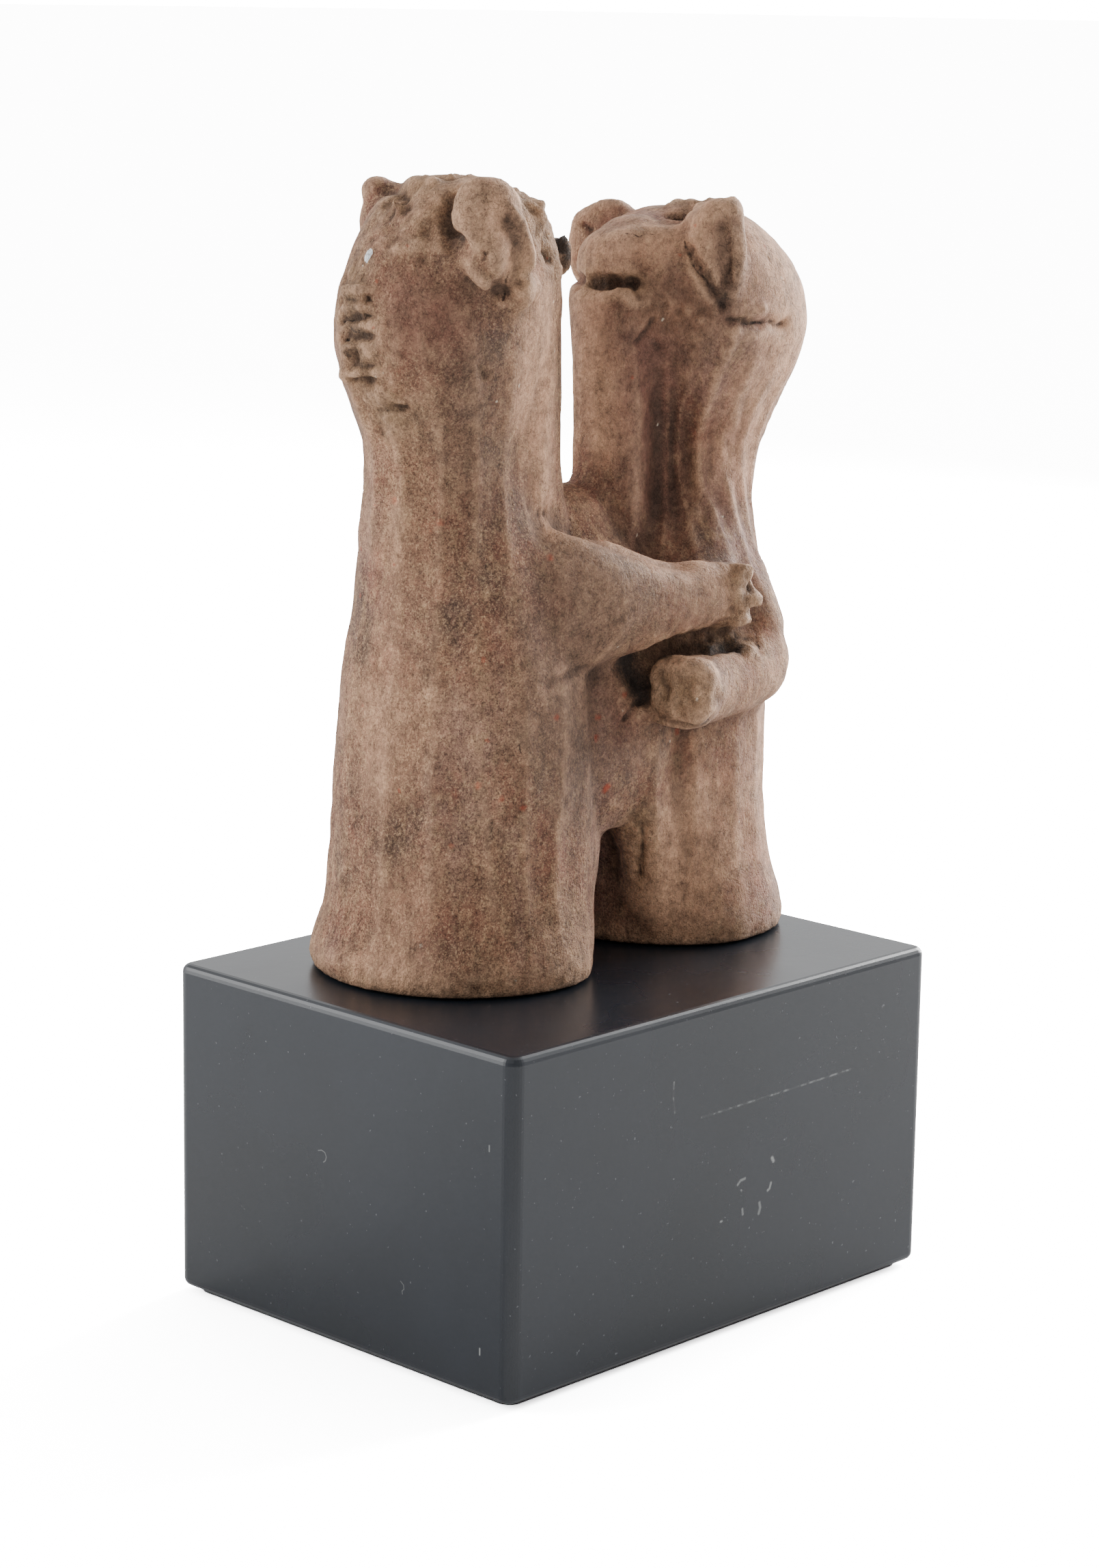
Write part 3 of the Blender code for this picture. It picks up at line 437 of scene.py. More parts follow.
# What has settled on the skin or been rubbed off it, with painted shade and painted light among it: rows of
# (weight, half width, line), in world mm
MARKS = {
    # Soot and packed dirt in the crevices and on the burnt mouth, and painted shade in the slot between the
    # arms, in the valley under the taller figure's near ear, on the shorter figure's near ear and in the gap
    # between the feet
    "soot_and_painted_shade": (
        (1.5, 1.4, ((-24.9, -0.9, 164.2), (-26.4, -1.8, 161.0), (-27.8, -5.0, 158.8))),
        (0.4, 1.9, ((-28.6, -7.8, 156.8), (-26.4, -10.2, 153.8), (-22.6, -8.6, 151.4))),
        (0.6, 2.6, ((-22.6, -11.2, 162.8), (-22.0, -11.4, 158.6))),
        (1.35, 2.1, ((0.4, 2.6, 158.0), (1.4, 2.6, 155.2))),
        (0.5, 1.6, ((1.4, 2.6, 153.4),)),
        (0.8, 0.4, ((-27.1, -9.8, 156.9), (-26.9, -9.8, 156.0))),
        (0.9, 0.6, ((-9.5, -4.8, 156.4), (-9.2, -4.9, 155.0))),
        (0.22, 1.7, ((-23.2, -11.0, 161.8), (-21.6, -11.2, 158.0))),
        (0.9, 0.9, ((-10.4, -5.8, 157.6), (-10.0, -5.8, 155.4))),
        (1.5, 1.0, ((-35.5, 8.1, 142.0),)),
        (0.5, 0.6, ((-34.6, 11.4, 146.9), (-35.4, 8.6, 147.4))),
        (0.5, 0.5, ((-34.0, 12.4, 149.2), (-35.0, 8.0, 150.0))),
        (0.8, 0.7, ((-35.2, 10.0, 144.3), (-35.7, 8.4, 144.5))),
        (0.6, 1.0, ((-35.4, 9.6, 145.5), (-35.4, 6.0, 145.0))),
        (0.5, 0.9, ((-33.1, 5.2, 134.2), (-31.9, 0.8, 134.9))),
        (0.35, 3.5, ((-34.8, 8, 150), (-35.2, 6, 138))),
        (2.0, 1.2, ((23.3, 0.2, 159.4), (24.3, -1.0, 159.3))),
        (0.4, 1.3, ((22.6, 1.0, 160.4), (24.6, -1.8, 160.1))),
        (0.42, 1.7, ((8.6, 9.8, 150.4), (10.4, 3.4, 150.5), (13.6, -1.4, 150.8))),
        (0.7, 0.9, ((14.6, 0.4, 150.5),)),
        (0.5, 2.2, ((22.8, -10.9, 158.8), (23.4, -11.4, 155.0), (23.0, -10.6, 149.0))),
        (0.7, 1.2, ((18.2, -6.9, 155.6), (20.0, -9.2, 150.8), (22.8, -10.0, 147.2))),
        (0.1, 4.5, ((15.8, -1.0, 139.9), (17.4, 0.3, 133.6), (20.3, 1.6, 127.1), (21.0, 1.6, 118.0))),
        (1.3, 2.2, ((7.0, -8.6, 97.0), (9.4, -10.0, 98.0), (13.0, -11.4, 97.8), (23.0, -13.6, 97.2))),
        (1.1, 2.6, ((5.6, -8.4, 95.4), (7.6, -8.8, 90.4))),
        (0.9, 0.9, ((6.4, -13.0, 87.9), (8.6, -16.3, 86.9), (11.6, -18.8, 88.0))),
        (0.2, 9.0, ((5.5, 5.0, 52.0), (6.5, 5.0, 64.0))),
        (0.35, 1.6, ((24.4, -14.8, 107), (24.4, -14.8, 101))),
        (0.5, 1.1, ((-30.4, 8.8, 114.1),)),
    ),
    # Stretches of a redder clay
    "rosy": (
        (0.5, 9.0, ((5.5, 5.0, 52.0), (6.5, 5.0, 66.0))),
        (0.9, 5.0, ((-33.0, 0.5, 151.0), (-31.0, -3.6, 148.5), (-33.0, -1.0, 146.5))),
        (0.8, 3.2, ((18.5, -5.7, 146.6), (21.2, -8.0, 145.8))),
        (0.8, 6.5, ((12.8, 0.2, 146.0), (16.0, -1.0, 138.0), (18.6, 0.8, 120.0))),
        (0.5, 5.0, ((2.0, -10.0, 91.0), (3.0, -10.0, 85.0))),
    ),
    # Brick-red grains, two long ones and the round ones
    "brick": (
        (0.9, 0.9, ((7.6, -8.4, 70.0), (7.8, -8.6, 68.2))),
        (0.6, 0.5, ((-32.4, 1.4, 135.0), (-31.9, 0.8, 134.9))),
        *((0.9, 0.62, (grain,)) for grain in (
            (-30.1, 4.5, 121.6), (-27.2, -1.8, 118.9), (-11.6, -8.3, 113.1), (-1.9, -9.3, 88.8),
            (-2.8, -9.9, 85.9), (3.9, -8.9, 91.3), (-0.6, -10.3, 78.4), (-1.1, -10.1, 77.9),
            (-19.9, -11.7, 78.3), (14.9, -9.7, 84.5), (-25.8, -8.4, 81.9), (-22.9, -10.4, 79.8),
            (-28.8, -6.1, 73.0), (-13.5, -11.8, 90.6),
        )),
    ),
    # A bare white chip on the taller figure's brow
    "chip": (
        (1.0, 0.85, ((-32.4, 7.6, 156.4), (-32.4, 7.6, 155.0))),
    ),
    # Broad darker zones: dirt from handling and fire, and painted shade, as on the shaded face of the shorter
    # figure's near ear
    "grime_and_painted_shade": (
        (0.9, 8.5, ((-5.0, -8.6, 112.0), (-8.0, -10.2, 96.0), (-9.0, -10.6, 78.0))),
        (0.8, 7.0, ((-27.0, -5.0, 148.0), (-24.0, -6.0, 138.0), (-22.0, -6.4, 124.0))),
        (0.7, 5.0, ((2.0, -11.0, 106.0), (14.0, -13.0, 103.0))),
        (0.6, 6.0, ((-1.0, -10.0, 92.0), (3.0, -10.0, 84.0))),
        (0.7, 4.5, ((12.0, -2.0, 146.0), (16.0, -2.0, 147.0), (20.0, -8.0, 146.0))),
        (1.5, 2.7, ((22.4, -10.9, 158.8), (22.9, -11.2, 155.0), (22.8, -10.4, 149.0))),
        (1.2, 1.8, ((23.8, -11.3, 158.8), (24.0, -11.9, 155.0), (23.4, -11.2, 151.0))),
        (0.8, 7.0, ((15.0, -1.0, 144.0), (19.0, -2.0, 144.0), (18.0, 0.0, 132.0), (19.0, 0.0, 118.0))),
        (0.5, 6.0, ((-6.0, -10.0, 62.0), (-14.0, -11.0, 54.0))),
        (0.4, 6.0, ((-14.0, -10.0, 108.0), (-18.0, -11.0, 88.0))),
    ),
    # Broad lighter, pinkish zones: rubbed clay, and painted light along the lit outer edges, the crown and
    # between the necks
    "pale_and_painted_light": (
        (0.9, 4.5, ((-13.0, -7.0, 146.0), (-10.0, -5.0, 132.0), (-7.0, -4.4, 118.0))),
        (0.9, 8.0, ((40.0, -6.0, 152.0), (38.0, -7.0, 138.0), (34.0, -7.0, 124.0))),
        (0.35, 6.0, ((-33.0, -1.0, 110.0), (-34.0, -2.0, 84.0))),
        (0.7, 6.0, ((-36.0, -2.0, 66.0), (-36.0, -2.0, 56.0))),
        (0.7, 7.0, ((34.0, -9.0, 88.0), (34.0, -8.0, 66.0))),
        (1.1, 4.0, ((7.0, 4.0, 146.0), (9.0, 1.0, 128.0))),
        (0.8, 4.5, ((-35.0, 6.0, 114.0), (-36.0, 5.0, 80.0))),
        (0.6, 5.0, ((14.0, -8.5, 72.0), (14.0, -8.5, 58.0))),
        (0.5, 3.5, ((2.0, -8.0, 114.0), (12.0, -11.0, 110.0), (20.0, -12.0, 108.0))),
        (0.6, 3.5, ((-25.0, -10.0, 161.0), (-22.0, -10.5, 158.0), (-20.0, -10.0, 154.0))),
        (0.5, 5.0, ((-24.0, 6.0, 164.0), (-14.0, 2.0, 164.0))),
        (0.6, 4.0, ((-23.0, -10.6, 162.0), (-21.0, -10.0, 157.0))),
        (0.6, 6.0, ((20.0, -9.0, 74.0), (22.0, -9.0, 58.0))),
        (0.8, 7.0, ((32.0, -10.0, 158.0), (36.0, -9.0, 148.0))),
        (0.6, 4.0, ((14.0, 1.0, 157.0), (18.0, -3.0, 157.0))),
        (0.7, 5.0, ((-14.0, -7.6, 151.0), (-12.0, -6.0, 138.0))),
    ),
}
shown = {name: patches(rows) for name, rows in MARKS.items()}
# The lowest 2.2 mm of the figures are darker towards the sole
shown["soot_and_painted_shade"] += 0.7 * np.clip(1 - (height - sole) / 2.2, 0, 1)
shown["crumbled"] = crumbled

# How deep a point lies in a hollow, or how proud: its distance below the smoothed skin, fine and wide
lift = outward(place)
hollow_fine = ((spread(place, 6) - place) * lift).sum(1)
hollow_wide = ((spread(place, 70) - place) * lift).sum(1)
shown["hollow"] = np.clip(hollow_fine * 2.6, -1, 1) * 0.5 + np.clip(hollow_wide * 0.55, -1, 1) * 0.5

# The taller figure is sandier, the shorter one more rubbed
shown["sandy"] = 0.45 + 0.55 * np.clip((8.0 - place[:, 0]) / 10 + 0.5, 0, 1)

skin.vertices.foreach_set("co", (place * MM).ravel())
for name, values in shown.items():
    attribute = skin.attributes.new(name, "FLOAT", "POINT")
    attribute.data.foreach_set("value", np.clip(values, -1, 1.5).astype(np.float32))
skin.polygons.foreach_set("use_smooth", np.ones(len(skin.polygons), bool))
skin.materials.clear()
skin.update()
pair = bpy.data.objects.new("pair_of_figures", skin)
bpy.context.scene.collection.objects.link(pair)


def linear(code):
    """An sRGB hex colour as linear red, green, blue and full opacity."""
    parts = [int(code[k : k + 2], 16) / 255 for k in (1, 3, 5)]
    return (*(p / 12.92 if p <= 0.04045 else ((p + 0.055) / 1.055) ** 2.4 for p in parts), 1.0)


def node(material, kind, settings=(), output=0, **links):
    """Adds a node, sets its properties, joins or fills its inputs, and gives back one of its outputs.

    The kind is written without its ShaderNode. An input is named, with _ for each space, or numbered as in_0.
    """
    made = material.node_tree.nodes.new("ShaderNode" + kind)
    for key, value in dict(settings).items():
        setattr(made, key, value)
    for key, value in links.items():
        key = key.replace("_", " ")
        target = made.inputs[int(key[3:])] if key.startswith("in ") else made.inputs[key]
        if isinstance(value, bpy.types.NodeSocket):
            material.node_tree.links.new(value, target)
        else:
            target.default_value = value
    return made.outputs[output]


def new_material(name):
    """A material, its Principled shader, and the place on the surface in the object's own metres."""
    material = bpy.data.materials.new(name)
    material.use_nodes = True
    place = node(material, "TexCoord", {"name": "place"}, "Object")
    return material, material.node_tree.nodes["Principled BSDF"], place


def cloud(material, size_mm, detail=3.0, rough=0.55, stretch=(1, 1, 1), seed=0.0):
    """Noise whose blotches are about so many mm across, drawn out along an axis by a stretch below 1."""
    place = material.node_tree.nodes["place"].outputs["Object"]
    place = node(material, "Mapping", Vector=place, Scale=stretch, Location=(seed, seed, seed))
    scale = 0.5 / (size_mm * MM)
    return node(material, "TexNoise", Vector=place, Scale=scale, Detail=detail, Roughness=rough)


def shades(material, value, *stops):
    """A value read off as a colour between stops of (level, hex colour)."""
    colour = node(material, "ValToRGB", output="Color", in_0=value)
    steps = colour.node.color_ramp.elements
    while len(steps) < len(stops):
        steps.new(0.5)
    for step, (position, code) in zip(steps, stops):
        step.position = position
        step.color = linear(code)
    return colour


def layered(material, tone, layers):
    """Colours laid over one another: a layer is (mask, low, high, strength, colour).

    It doesn't show where its mask is at low, and shows at full strength where the mask is at high or past it.
    """
    for mask, low, high, strength, colour in layers:
        share = node(material, "MapRange", in_0=mask, in_1=low, in_2=high, in_3=0.0, in_4=strength)
        colour = linear(colour) if isinstance(colour, str) else colour
        tone = node(material, "Mix", {"data_type": "RGBA"}, 2, in_0=share, in_6=tone, in_7=colour)
    return tone


def sum_of(material, *terms):
    """Values added together, each times its own factor."""
    total = 0.0
    for value, factor in terms:
        total = node(material, "Math", {"operation": "MULTIPLY_ADD"}, in_0=value, in_1=factor, in_2=total)
    return total


def grains(material, place, spacing_mm, low, high):
    """Ragged spots at that mean spacing: 1 within the low share of a cell's size, fading to 0 at the high.

    The place is shifted first by noise of 0.35 mm, so the round cells come out ragged.
    """
    drift = node(material, "TexNoise", output="Color", Vector=place, Scale=0.5 / (0.35 * MM), Detail=2.0)
    shift = (0.9 * MM,) * 3
    place = node(material, "VectorMath", {"operation": "MULTIPLY_ADD"}, in_0=drift, in_1=shift, in_2=place)
    scale = 1 / (spacing_mm * MM)
    away = node(material, "TexVoronoi", {"feature": "F1"}, "Distance", Vector=place, Scale=scale)
    return node(material, "MapRange", in_0=away, in_1=low, in_2=high, in_3=1.0, in_4=0.0)


def streak(material, place, path, width_mm):
    """A thin line through the given points, in world mm: 1 on it, fading to 0 at that distance from it."""
    points = [Vector(point) * MM for point in path]
    width = width_mm * MM
    found = 0.0
    for start, end in zip(points, points[1:]):
        step = end - start
        aim = step / step.length_squared
        offset = node(material, "VectorMath", {"operation": "SUBTRACT"}, in_0=place, in_1=start)
        share = node(material, "VectorMath", {"operation": "DOT_PRODUCT"}, "Value", in_0=offset, in_1=aim)
        share = node(material, "Math", {"operation": "ADD", "use_clamp": True}, in_0=share, in_1=0.0)
        foot = node(material, "VectorMath", {"operation": "SCALE"}, in_0=step, Scale=share)
        away = node(material, "VectorMath", {"operation": "DISTANCE"}, "Value", in_0=offset, in_1=foot)
        line = node(material, "MapRange", in_0=away, in_1=0.3 * width, in_2=width, in_3=1.0, in_4=0.0)
        found = node(material, "Math", {"operation": "MAXIMUM"}, in_0=found, in_1=line)
    return found


# Coarse low-fired terracotta, pared and rubbed by hand: pinkish tan and brown in soft clouds, with sand
# showing, painted shade in the hollows and painted light on ridges, a faint sheen where it was rubbed and
# small brick-red grains.
clay, skin_shader, on_skin = new_material("fired_terracotta_hand_pared")
held = {name: node(clay, "Attribute", {"attribute_name": name}, "Fac") for name in shown}

# Thin cracks and slits, on the side where the two near arms end. They are drawn flat, square to the line
# that runs inwards from there, wander by noise of 1 mm, and end 3 to 4 mm past their own ends, so the far
# side has none.
CRACKS = (
    (0.26, ((18.5, -5.8, 156.5), (18.7, -7.1, 153.6), (20.4, -7.9, 151.3), (22.0, -9.2, 148.5),
            (23.4, -9.4, 147.1))),
    (0.34, ((-27.1, -9.9, 157.0), (-26.6, -9.3, 155.8))),
    (0.24, ((-19.7, -7.3, 153.2), (-20.5, -7.1, 151.3), (-20.7, -7.2, 150.0))),
    (0.14, ((13.0, 1.1, 157.8), (14.0, -0.7, 157.3), (15.9, -2.3, 157.5))),
    (0.20, ((28.8, -12.8, 97.9), (27.7, -14.5, 96.3), (25.0, -15.9, 95.2))),
    (0.16, ((-20.2, -11.0, 87.4), (-19.4, -11.3, 84.4), (-18.6, -11.6, 81.8))),
    (0.62, ((22.0, -0.8, 159.7), (20.7, -3.7, 160.0))),
    (0.55, ((-34.8, 9.3, 142.3), (-34.6, 8.8, 141.5))),
    (0.28, ((13.2, 1.1, 150.1), (14.6, 0.2, 150.4))),
    (0.20, ((24.2, -10.3, 145.2), (26.4, -10.9, 144.8), (29.7, -11.4, 144.6), (31.5, -11.5, 145.0))),
    (0.24, ((-35.0, 9.6, 147.0), (-35.6, 7.0, 147.4))),
    (0.26, ((-35.4, 9.8, 144.2), (-35.8, 7.6, 144.6))),
    (0.20, ((-33.0, 3.8, 134.6), (-32.6, 2.2, 135.0), (-31.9, 0.8, 134.9))),
)
inwards = Vector((0.70569, 0.67694, -0.20920))
level = node(clay, "VectorMath", {"operation": "DOT_PRODUCT"}, "Value", in_0=on_skin, in_1=inwards)
level = node(clay, "VectorMath", {"operation": "SCALE"}, in_0=inwards, Scale=level)
drawn = node(clay, "VectorMath", {"operation": "SUBTRACT"}, in_0=on_skin, in_1=level)
drift = node(clay, "TexNoise", output="Color", Vector=on_skin, Scale=0.5 / (1.0 * MM), Detail=3.0)
drift = node(clay, "VectorMath", {"operation": "SUBTRACT"}, in_0=drift, in_1=(0.5, 0.5, 0.5))
wander = (1.3 * MM,) * 3
drawn = node(clay, "VectorMath", {"operation": "MULTIPLY_ADD"}, in_0=drift, in_1=wander, in_2=drawn)
cracked = 0.0
for width, path in CRACKS:
    path = [Vector(point) for point in path]
    line = streak(clay, drawn, [point - point.dot(inwards) * inwards for point in path], width)
    middle = sum(path, Vector()) / len(path)
    span = max((point - middle).length for point in path)
    away = node(clay, "VectorMath", {"operation": "DISTANCE"}, "Value", in_0=on_skin, in_1=middle * MM)
    round_it = node(
        clay, "MapRange", in_0=away, in_1=(span + 3) * MM, in_2=(span + 4) * MM, in_3=1.0, in_4=0.0
    )
    line = sum_of(clay, (line, round_it))
    cracked = node(clay, "Math", {"operation": "MAXIMUM"}, in_0=cracked, in_1=line)
broken = cloud(clay, 0.7, 3.0, 0.7, seed=73.0)
broken = node(clay, "MapRange", in_0=broken, in_1=0.40, in_2=0.60, in_3=0.0, in_4=0.85)
cracked = sum_of(clay, (cracked, broken))

# Sand of 0.1 to 0.2 mm, soot and painted shade with a ragged edge, hairlines where a noise crosses its
# middle, and a mottle
broad = cloud(clay, 14.0, 5.0, 0.62)
fine = cloud(clay, 0.11, 2.0, 0.7, seed=13.0)
sand = cloud(clay, 0.22, 3.0, 0.65, seed=31.0)
speck = sum_of(clay, (fine, 0.7), (sand, 0.6))
soot_and_shade = sum_of(clay, (held["soot_and_painted_shade"], 1.0), (cloud(clay, 0.9, 5.0, 0.8, seed=23.0), 1.7))
soot_and_shade = node(clay, "MapRange", in_0=soot_and_shade, in_1=1.15, in_2=1.90, in_3=0.0, in_4=0.92)
hair = cloud(clay, 1.5, 3.0, 0.6, seed=67.0)
hair = node(clay, "Math", {"operation": "SUBTRACT"}, in_0=hair, in_1=0.5)
hair = node(clay, "Math", {"operation": "ABSOLUTE"}, in_0=hair)
hairline = node(clay, "MapRange", in_0=hair, in_1=0.002, in_2=0.014, in_3=1.0, in_4=0.0)
mottle = cloud(clay, 1.3, 5.0, 0.95, (1, 1, 0.85), 61.0)
mottled = node(clay, "MapRange", in_0=mottle, in_1=0.30, in_2=0.70, in_3=0.46, in_4=1.72)
red_grains = sum_of(clay, (grains(clay, on_skin, 6.4, 0.04, 0.09), 0.6), (held["brick"], 1.0))
chip = sum_of(clay, (held["chip"], 2.0), (cloud(clay, 0.55, 3.0, 0.6, seed=71.0), 1.8))
bare = shades(clay, sand, (0.4, "#c9cacc"), (0.6, "#ececed"))

tone = shades(clay, broad, (0.32, "#5e4335"), (0.45, "#7b5946"), (0.56, "#916c54"), (0.70, "#a88269"))
tone = layered(clay, tone, (
    # The body of the clay, in clouds of 1 to 7 mm
    (cloud(clay, 7.0, 3.0, 0.6, (1, 1, 0.22), 3.0), 0.50, 0.68, 0.60, "#94736a"),
    (cloud(clay, 4.0, 5.0, 0.7, (1, 1, 0.7), 7.0), 0.50, 0.66, 0.66, "#514239"),
    (cloud(clay, 5.0, 5.0, 0.7, (1, 1, 0.7), 19.0), 0.50, 0.66, 0.66, "#7d4b3a"),
    (cloud(clay, 0.9, 4.0, 0.7, (1, 1, 0.6), 9.0), 0.50, 0.66, 0.48, "#b08d6c"),
    # Dark and light sand
    (speck, 0.63, 0.50, sum_of(clay, (held["sandy"], 0.66)), "#2b1d14"),
    (speck, 0.67, 0.80, sum_of(clay, (held["sandy"], 0.50)), "#c9a985"),
    # Handling dirt and painted shade, rubbed clay and painted light, redder clay, crumbled edges, and painted
    # shade in hollows and painted light on ridges
    (sum_of(clay, (held["grime_and_painted_shade"], 0.8), (broad, 0.5)), 0.30, 1.0, 0.62, "#604b3f"),
    (sum_of(clay, (held["pale_and_painted_light"], 0.8), (broad, 0.5)), 0.30, 1.0, 0.62, "#cc9f80"),
    (held["rosy"], 0.0, 1.0, 0.66, "#6c4439"),
    (held["crumbled"], 0.1, 0.9, 0.45, "#987b5d"),
    # Painted shade in hollows and painted light on proud ridges
    (held["hollow"], 0.02, 0.50, 0.80, "#41332b"),
    (held["hollow"], -0.04, -0.45, 0.50, "#c79f80"),
    # Soot and dirt, and painted shade in the slot between the arms, under the ears and between the feet
    (soot_and_shade, 0.0, 1.0, 1.0, "#2c2622"),
    # Brick-red grains, light grains and the chip
    (red_grains, 0.25, 0.85, 0.72, "#a2462e"),
    (grains(clay, on_skin, 5.6, 0.02, 0.05), 0.0, 1.0, 0.6, "#dccab4"),
    (chip, 1.85, 2.05, 1.0, bare),
))
grainy = {"data_type": "RGBA", "blend_type": "MULTIPLY"}
tone = node(clay, "Mix", grainy, 2, in_0=1.0, in_6=tone, in_7=mottled)
tone = layered(clay, tone, (
    (cracked, 0.0, 1.0, 1.0, "#1c1613"),
    (sum_of(clay, (hairline, 1.0), (broad, 1.2)), 1.15, 1.75, 0.45, "#33241b"),
))
clay.node_tree.links.new(tone, skin_shader.inputs["Base Color"])
worn_dull = sum_of(clay, (broad, 0.6), (held["hollow"], 0.3))
worn_dull = node(clay, "MapRange", in_0=worn_dull, in_1=0.1, in_2=0.7, in_3=0.60, in_4=0.92)
clay.node_tree.links.new(worn_dull, skin_shader.inputs["Roughness"])
skin_shader.inputs["IOR"].default_value = 1.5
skin_shader.inputs["Specular IOR Level"].default_value = 0.20

# Relief too fine for the mesh, in mm: sand, marks of the brush or grass it was rubbed with, pocks, cracks
brushed = cloud(clay, 0.30, 3.0, 0.6, (1, 1, 0.06), 37.0)
pocks = cloud(clay, 0.6, 2.0, 0.5, seed=41.0)
pocks = node(clay, "MapRange", in_0=pocks, in_1=0.28, in_2=0.40, in_3=0.0, in_4=1.0)
gritty = node(clay, "MapRange", in_0=held["crumbled"], in_1=0.0, in_2=1.0, in_3=0.156, in_4=0.288)
crumb = cloud(clay, 0.6, 4.0, 0.65, seed=47.0)
loose = sum_of(clay, (held["crumbled"], 1.2))
relief = sum_of(
    clay,
    (fine, 0.13), (sand, gritty), (brushed, 0.12), (pocks, 0.14), (crumb, loose), (soot_and_shade, -0.25),
    (cracked, -0.30), (mottle, 0.35), (hairline, -0.05),
    (cloud(clay, 1.6, 4.0, 0.6, (1, 1, 0.5), 43.0), 0.45),
)
bump = node(clay, "Bump", Height=relief, Distance=MM, Strength=1.0)
clay.node_tree.links.new(bump, skin_shader.inputs["Normal"])
skin.materials.append(clay)

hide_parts("double_figure")
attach(pair, "root")

# THE BLOCK
# A plain wooden block with softened edges, sprayed satin black, which the pair stands on. Dust, a few
# fibres, a long faint scratch and small scuffs show on the paint.
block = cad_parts["plinth"]
paint, paint_shader, on_block = new_material("satin_black_paint_on_wood")
dust = cloud(paint, 0.30, 1.0, 0.5, seed=3.0)
film = cloud(paint, 22.0, 4.0, 0.6, seed=5.0)
dotted = cloud(paint, 0.8, 2.0, 0.6, seed=15.0)
dotted = node(paint, "MapRange", in_0=dotted, in_1=0.46, in_2=0.64, in_3=0.06, in_4=0.55)
# Fine marks as (half width in mm, strength, line in world mm)
SCRATCHES = (
    # A long dotted scratch and a short one
    (0.22, dotted, ((-6.3, -35, 34.6), (3.0, -35, 34.7), (13.8, -35, 34.8), (27.2, -35, 35.0))),
    (0.20, dotted, ((-12.4, -35, 41.1), (-12.5, -35, 39.0), (-12.1, -35, 36.5))),
    # Two curled fibres
    (0.12, 0.45, ((-45, 4.0, 29.1), (-45, 3.3, 29.3), (-45, 2.6, 29.1), (-45, 2.3, 28.5), (-45, 2.5, 27.9),
                  (-45, 2.9, 27.6))),
    (0.11, 0.35, ((-45, -13.2, 13.8), (-45, -13.8, 13.4), (-45, -13.9, 12.8), (-45, -13.5, 12.4),
                  (-45, -13.6, 12.0))),
    # Upright ticks, and chipped spots
    (0.16, 0.7, ((-45, -30.5, 37.8), (-45, -30.5, 37.0))),
    (0.18, 0.9, ((-45, -29.1, 8.1), (-45, -29.1, 7.2))),
    (0.42, 0.9, ((9.6, -35, 25.0), (9.9, -35, 24.5))),
    (0.30, 0.6, ((2.0, -35, 22.6), (2.6, -35, 23.1), (3.6, -35, 23.2))),
    (0.30, 0.8, ((8.8, -35, 20.2), (9.2, -35, 20.4), (9.5, -35, 21.2))),
    (0.30, 0.6, ((3.2, -35, 18.6), (3.3, -35, 17.8))),
    (0.36, 0.6, ((7.0, -35, 18.7), (7.2, -35, 17.9), (6.9, -35, 17.1))),
    (0.22, 0.6, ((2.8, -35, 21.6), (2.9, -35, 21.5))),
    (0.24, 0.8, ((-1.6, -35, 17.8), (-1.3, -35, 17.8))),
)
scratched = 0.0
for width, strength, path in SCRATCHES:
    line = sum_of(paint, (streak(paint, on_block, path, width), strength))
    scratched = node(paint, "Math", {"operation": "MAXIMUM"}, in_0=scratched, in_1=line)
coat = shades(paint, film, (0.35, "#161a20"), (0.65, "#1c2129"))
coat = layered(paint, coat, ((dust, 0.745, 0.80, 0.30, "#8f9296"), (scratched, 0.0, 1.0, 0.6, "#a9aba9")))
paint.node_tree.links.new(coat, paint_shader.inputs["Base Color"])
satin = node(paint, "MapRange", in_0=film, in_1=0.3, in_2=0.7, in_3=0.24, in_4=0.32)
paint.node_tree.links.new(satin, paint_shader.inputs["Roughness"])
orange_peel = cloud(paint, 1.1, 2.0, 0.5, seed=9.0)
orange_peel = node(paint, "Bump", Height=orange_peel, Distance=0.02 * MM, Strength=0.4)
paint.node_tree.links.new(orange_peel, paint_shader.inputs["Normal"])
block.data.materials.clear()
block.data.materials.append(paint)

# THE FELT
# A thin sheet of dark wool felt glued under the block, set in from its edges, matted and a little fuzzy
# where it was cut.
felt_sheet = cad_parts["felt_pad"]
felt, felt_shader, _ = new_material("dark_wool_felt_cut")
fuzz = cloud(felt, 0.5, 4.0, 0.7, seed=2.0)
greys = shades(felt, fuzz, (0.3, "#232324"), (0.7, "#4a4a4b"))
felt.node_tree.links.new(greys, felt_shader.inputs["Base Color"])
felt_shader.inputs["Roughness"].default_value = 0.95
felt_shader.inputs["Sheen Weight"].default_value = 0.4
matted = node(felt, "Bump", Height=fuzz, Distance=0.25 * MM, Strength=0.8)
felt.node_tree.links.new(matted, felt_shader.inputs["Normal"])
felt_sheet.data.materials.clear()
felt_sheet.data.materials.append(felt)

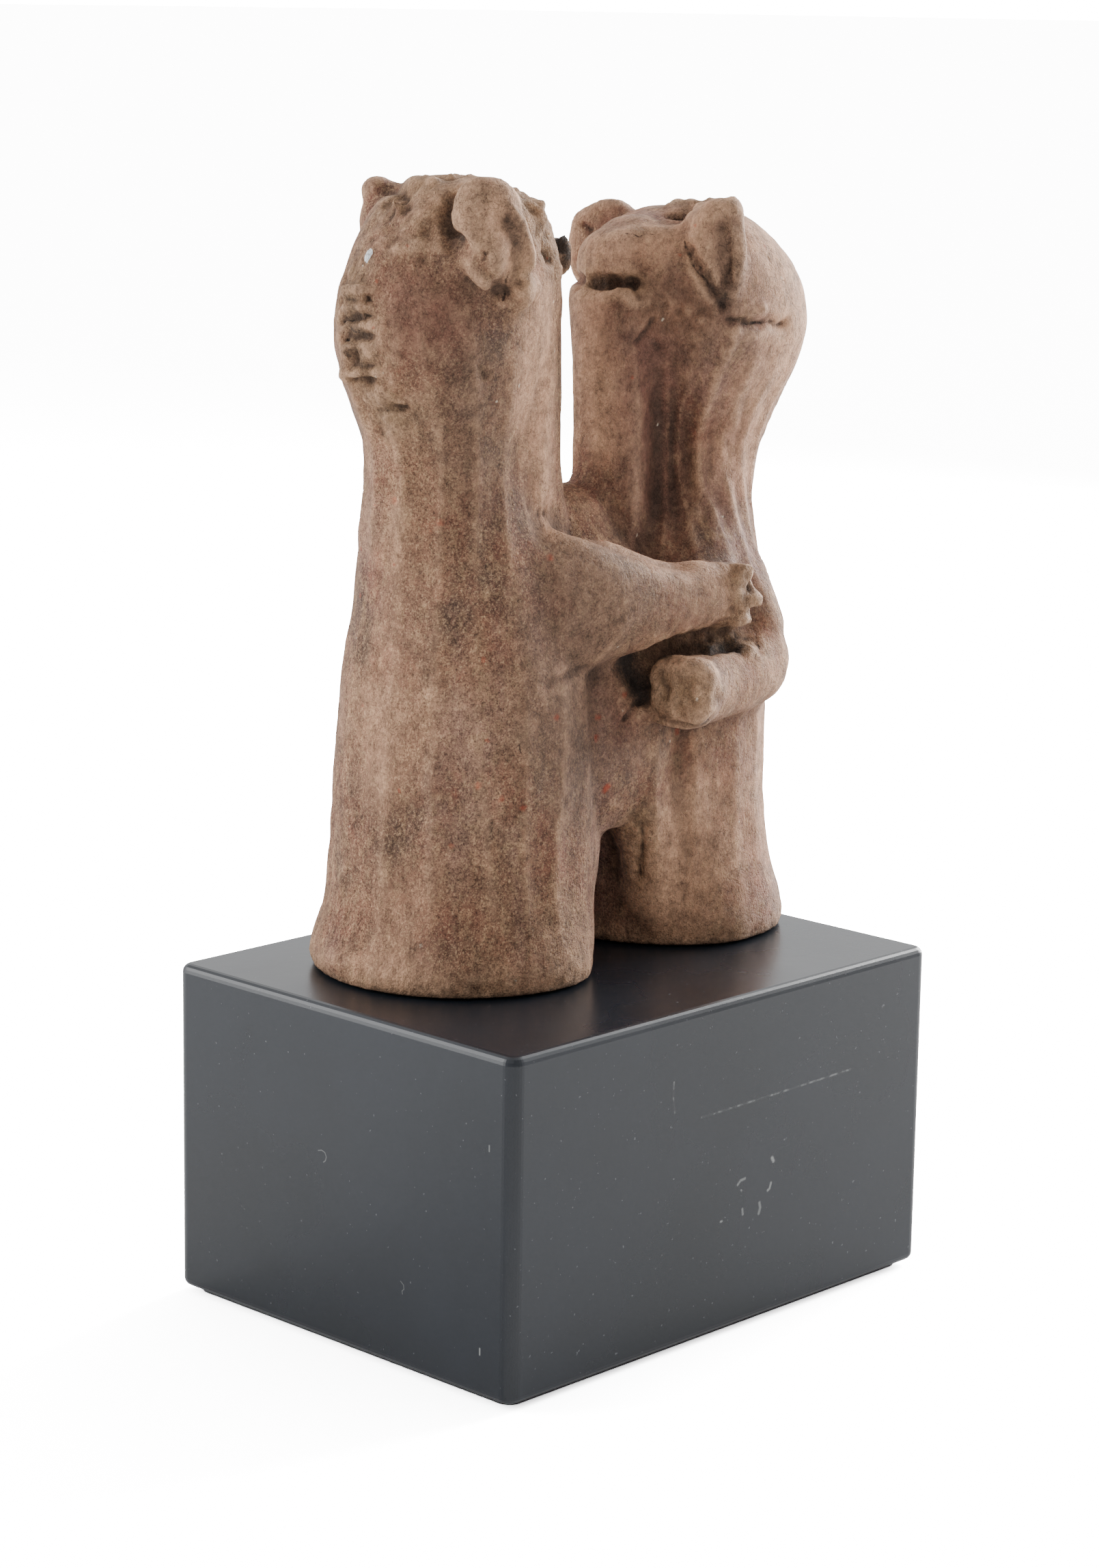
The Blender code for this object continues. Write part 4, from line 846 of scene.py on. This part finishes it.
# THE ROOM
# A plain white table without an edge, a white surround that is brightest behind the object, two soft lamps
# low behind it to the left and right, and a weak one in front. Seen directly, table and surround are
# brighter than the light they give.
TABLE_HALF = 40
corners = [(-TABLE_HALF, -TABLE_HALF, 0), (TABLE_HALF, -TABLE_HALF, 0), (TABLE_HALF, TABLE_HALF, 0),
           (-TABLE_HALF, TABLE_HALF, 0)]
table_mesh = bpy.data.meshes.new("white_table")
table_mesh.from_pydata(corners, [], [(0, 1, 2, 3)])
table = bpy.data.objects.new("white_table", table_mesh)
bpy.context.scene.collection.objects.link(table)
card = bpy.data.materials.new("matt_white_card")
card.use_nodes = True
card.node_tree.nodes.remove(card.node_tree.nodes["Principled BSDF"])
seen = node(card, "LightPath", output="Is Camera Ray")
matt = node(card, "BsdfDiffuse", Color=linear("#e6e6e6"))
bright = node(card, "BsdfDiffuse", Color=(13.0, 13.0, 13.0, 1.0))
either = node(card, "MixShader", in_0=seen, in_1=matt, in_2=bright)
card.node_tree.links.new(either, card.node_tree.nodes["Material Output"].inputs["Surface"])
table_mesh.materials.append(card)

SEEN_BRIGHTNESS = 70.0
surround = bpy.data.worlds.new("white_surround")
surround.use_nodes = True
around = node(surround, "TexCoord", output="Generated")
behind = {"operation": "DOT_PRODUCT"}
behind = node(surround, "VectorMath", behind, "Value", in_0=around, in_1=(0.72, 0.69, 0.0))
lit = node(surround, "MapRange", in_0=behind, in_1=-0.7, in_2=0.7, in_3=0.50, in_4=1.50)
seen = node(surround, "LightPath", output="Is Camera Ray")
glow = node(surround, "Mix", in_0=seen, in_2=lit, in_3=SEEN_BRIGHTNESS)
backdrop = surround.node_tree.nodes["Background"]
surround.node_tree.links.new(glow, backdrop.inputs["Strength"])
backdrop.inputs["Color"].default_value = (1.0, 1.0, 1.0, 1.0)
bpy.context.scene.world = surround

# Square soft lamps, each turned to the middle of the object: place in metres, and watts
LAMP_SIDE = 0.5
LIT_POINT = Vector((0, 0, 0.1))
for name, where, watts in (
    ("left_lamp", (-0.55, 0.55, 0.30), 5.5),
    ("right_lamp", (0.75, -0.02, 0.34), 17.0),
    ("front_lamp", (-0.75, -0.35, 0.60), 0.8),
):
    lamp = bpy.data.lights.new(name, "AREA")
    lamp.energy = watts
    lamp.size = LAMP_SIDE
    holder = bpy.data.objects.new(name, lamp)
    holder.location = where
    holder.rotation_euler = (LIT_POINT - Vector(where)).to_track_quat("-Z", "Y").to_euler()
    holder.visible_camera = False
    bpy.context.scene.collection.objects.link(holder)

# The camera, solved from the block's edges: its place in metres, and which way is right, down and ahead
lens = bpy.data.cameras.new("camera")
lens.sensor_width = 36.0
lens.lens = 84.44
lens.clip_start = 0.01
camera = bpy.data.objects.new("camera", lens)
right = Vector((0.69439, -0.71945, 0.01481))
down = Vector((-0.14048, -0.15571, -0.97776))
ahead = Vector((0.70569, 0.67694, -0.20920))
turned = Matrix((right, -down, -ahead)).transposed().to_4x4()
camera.matrix_world = Matrix.Translation((-0.38709, -0.36898, 0.19141)) @ turned
bpy.context.scene.collection.objects.link(camera)
bpy.context.scene.camera = camera
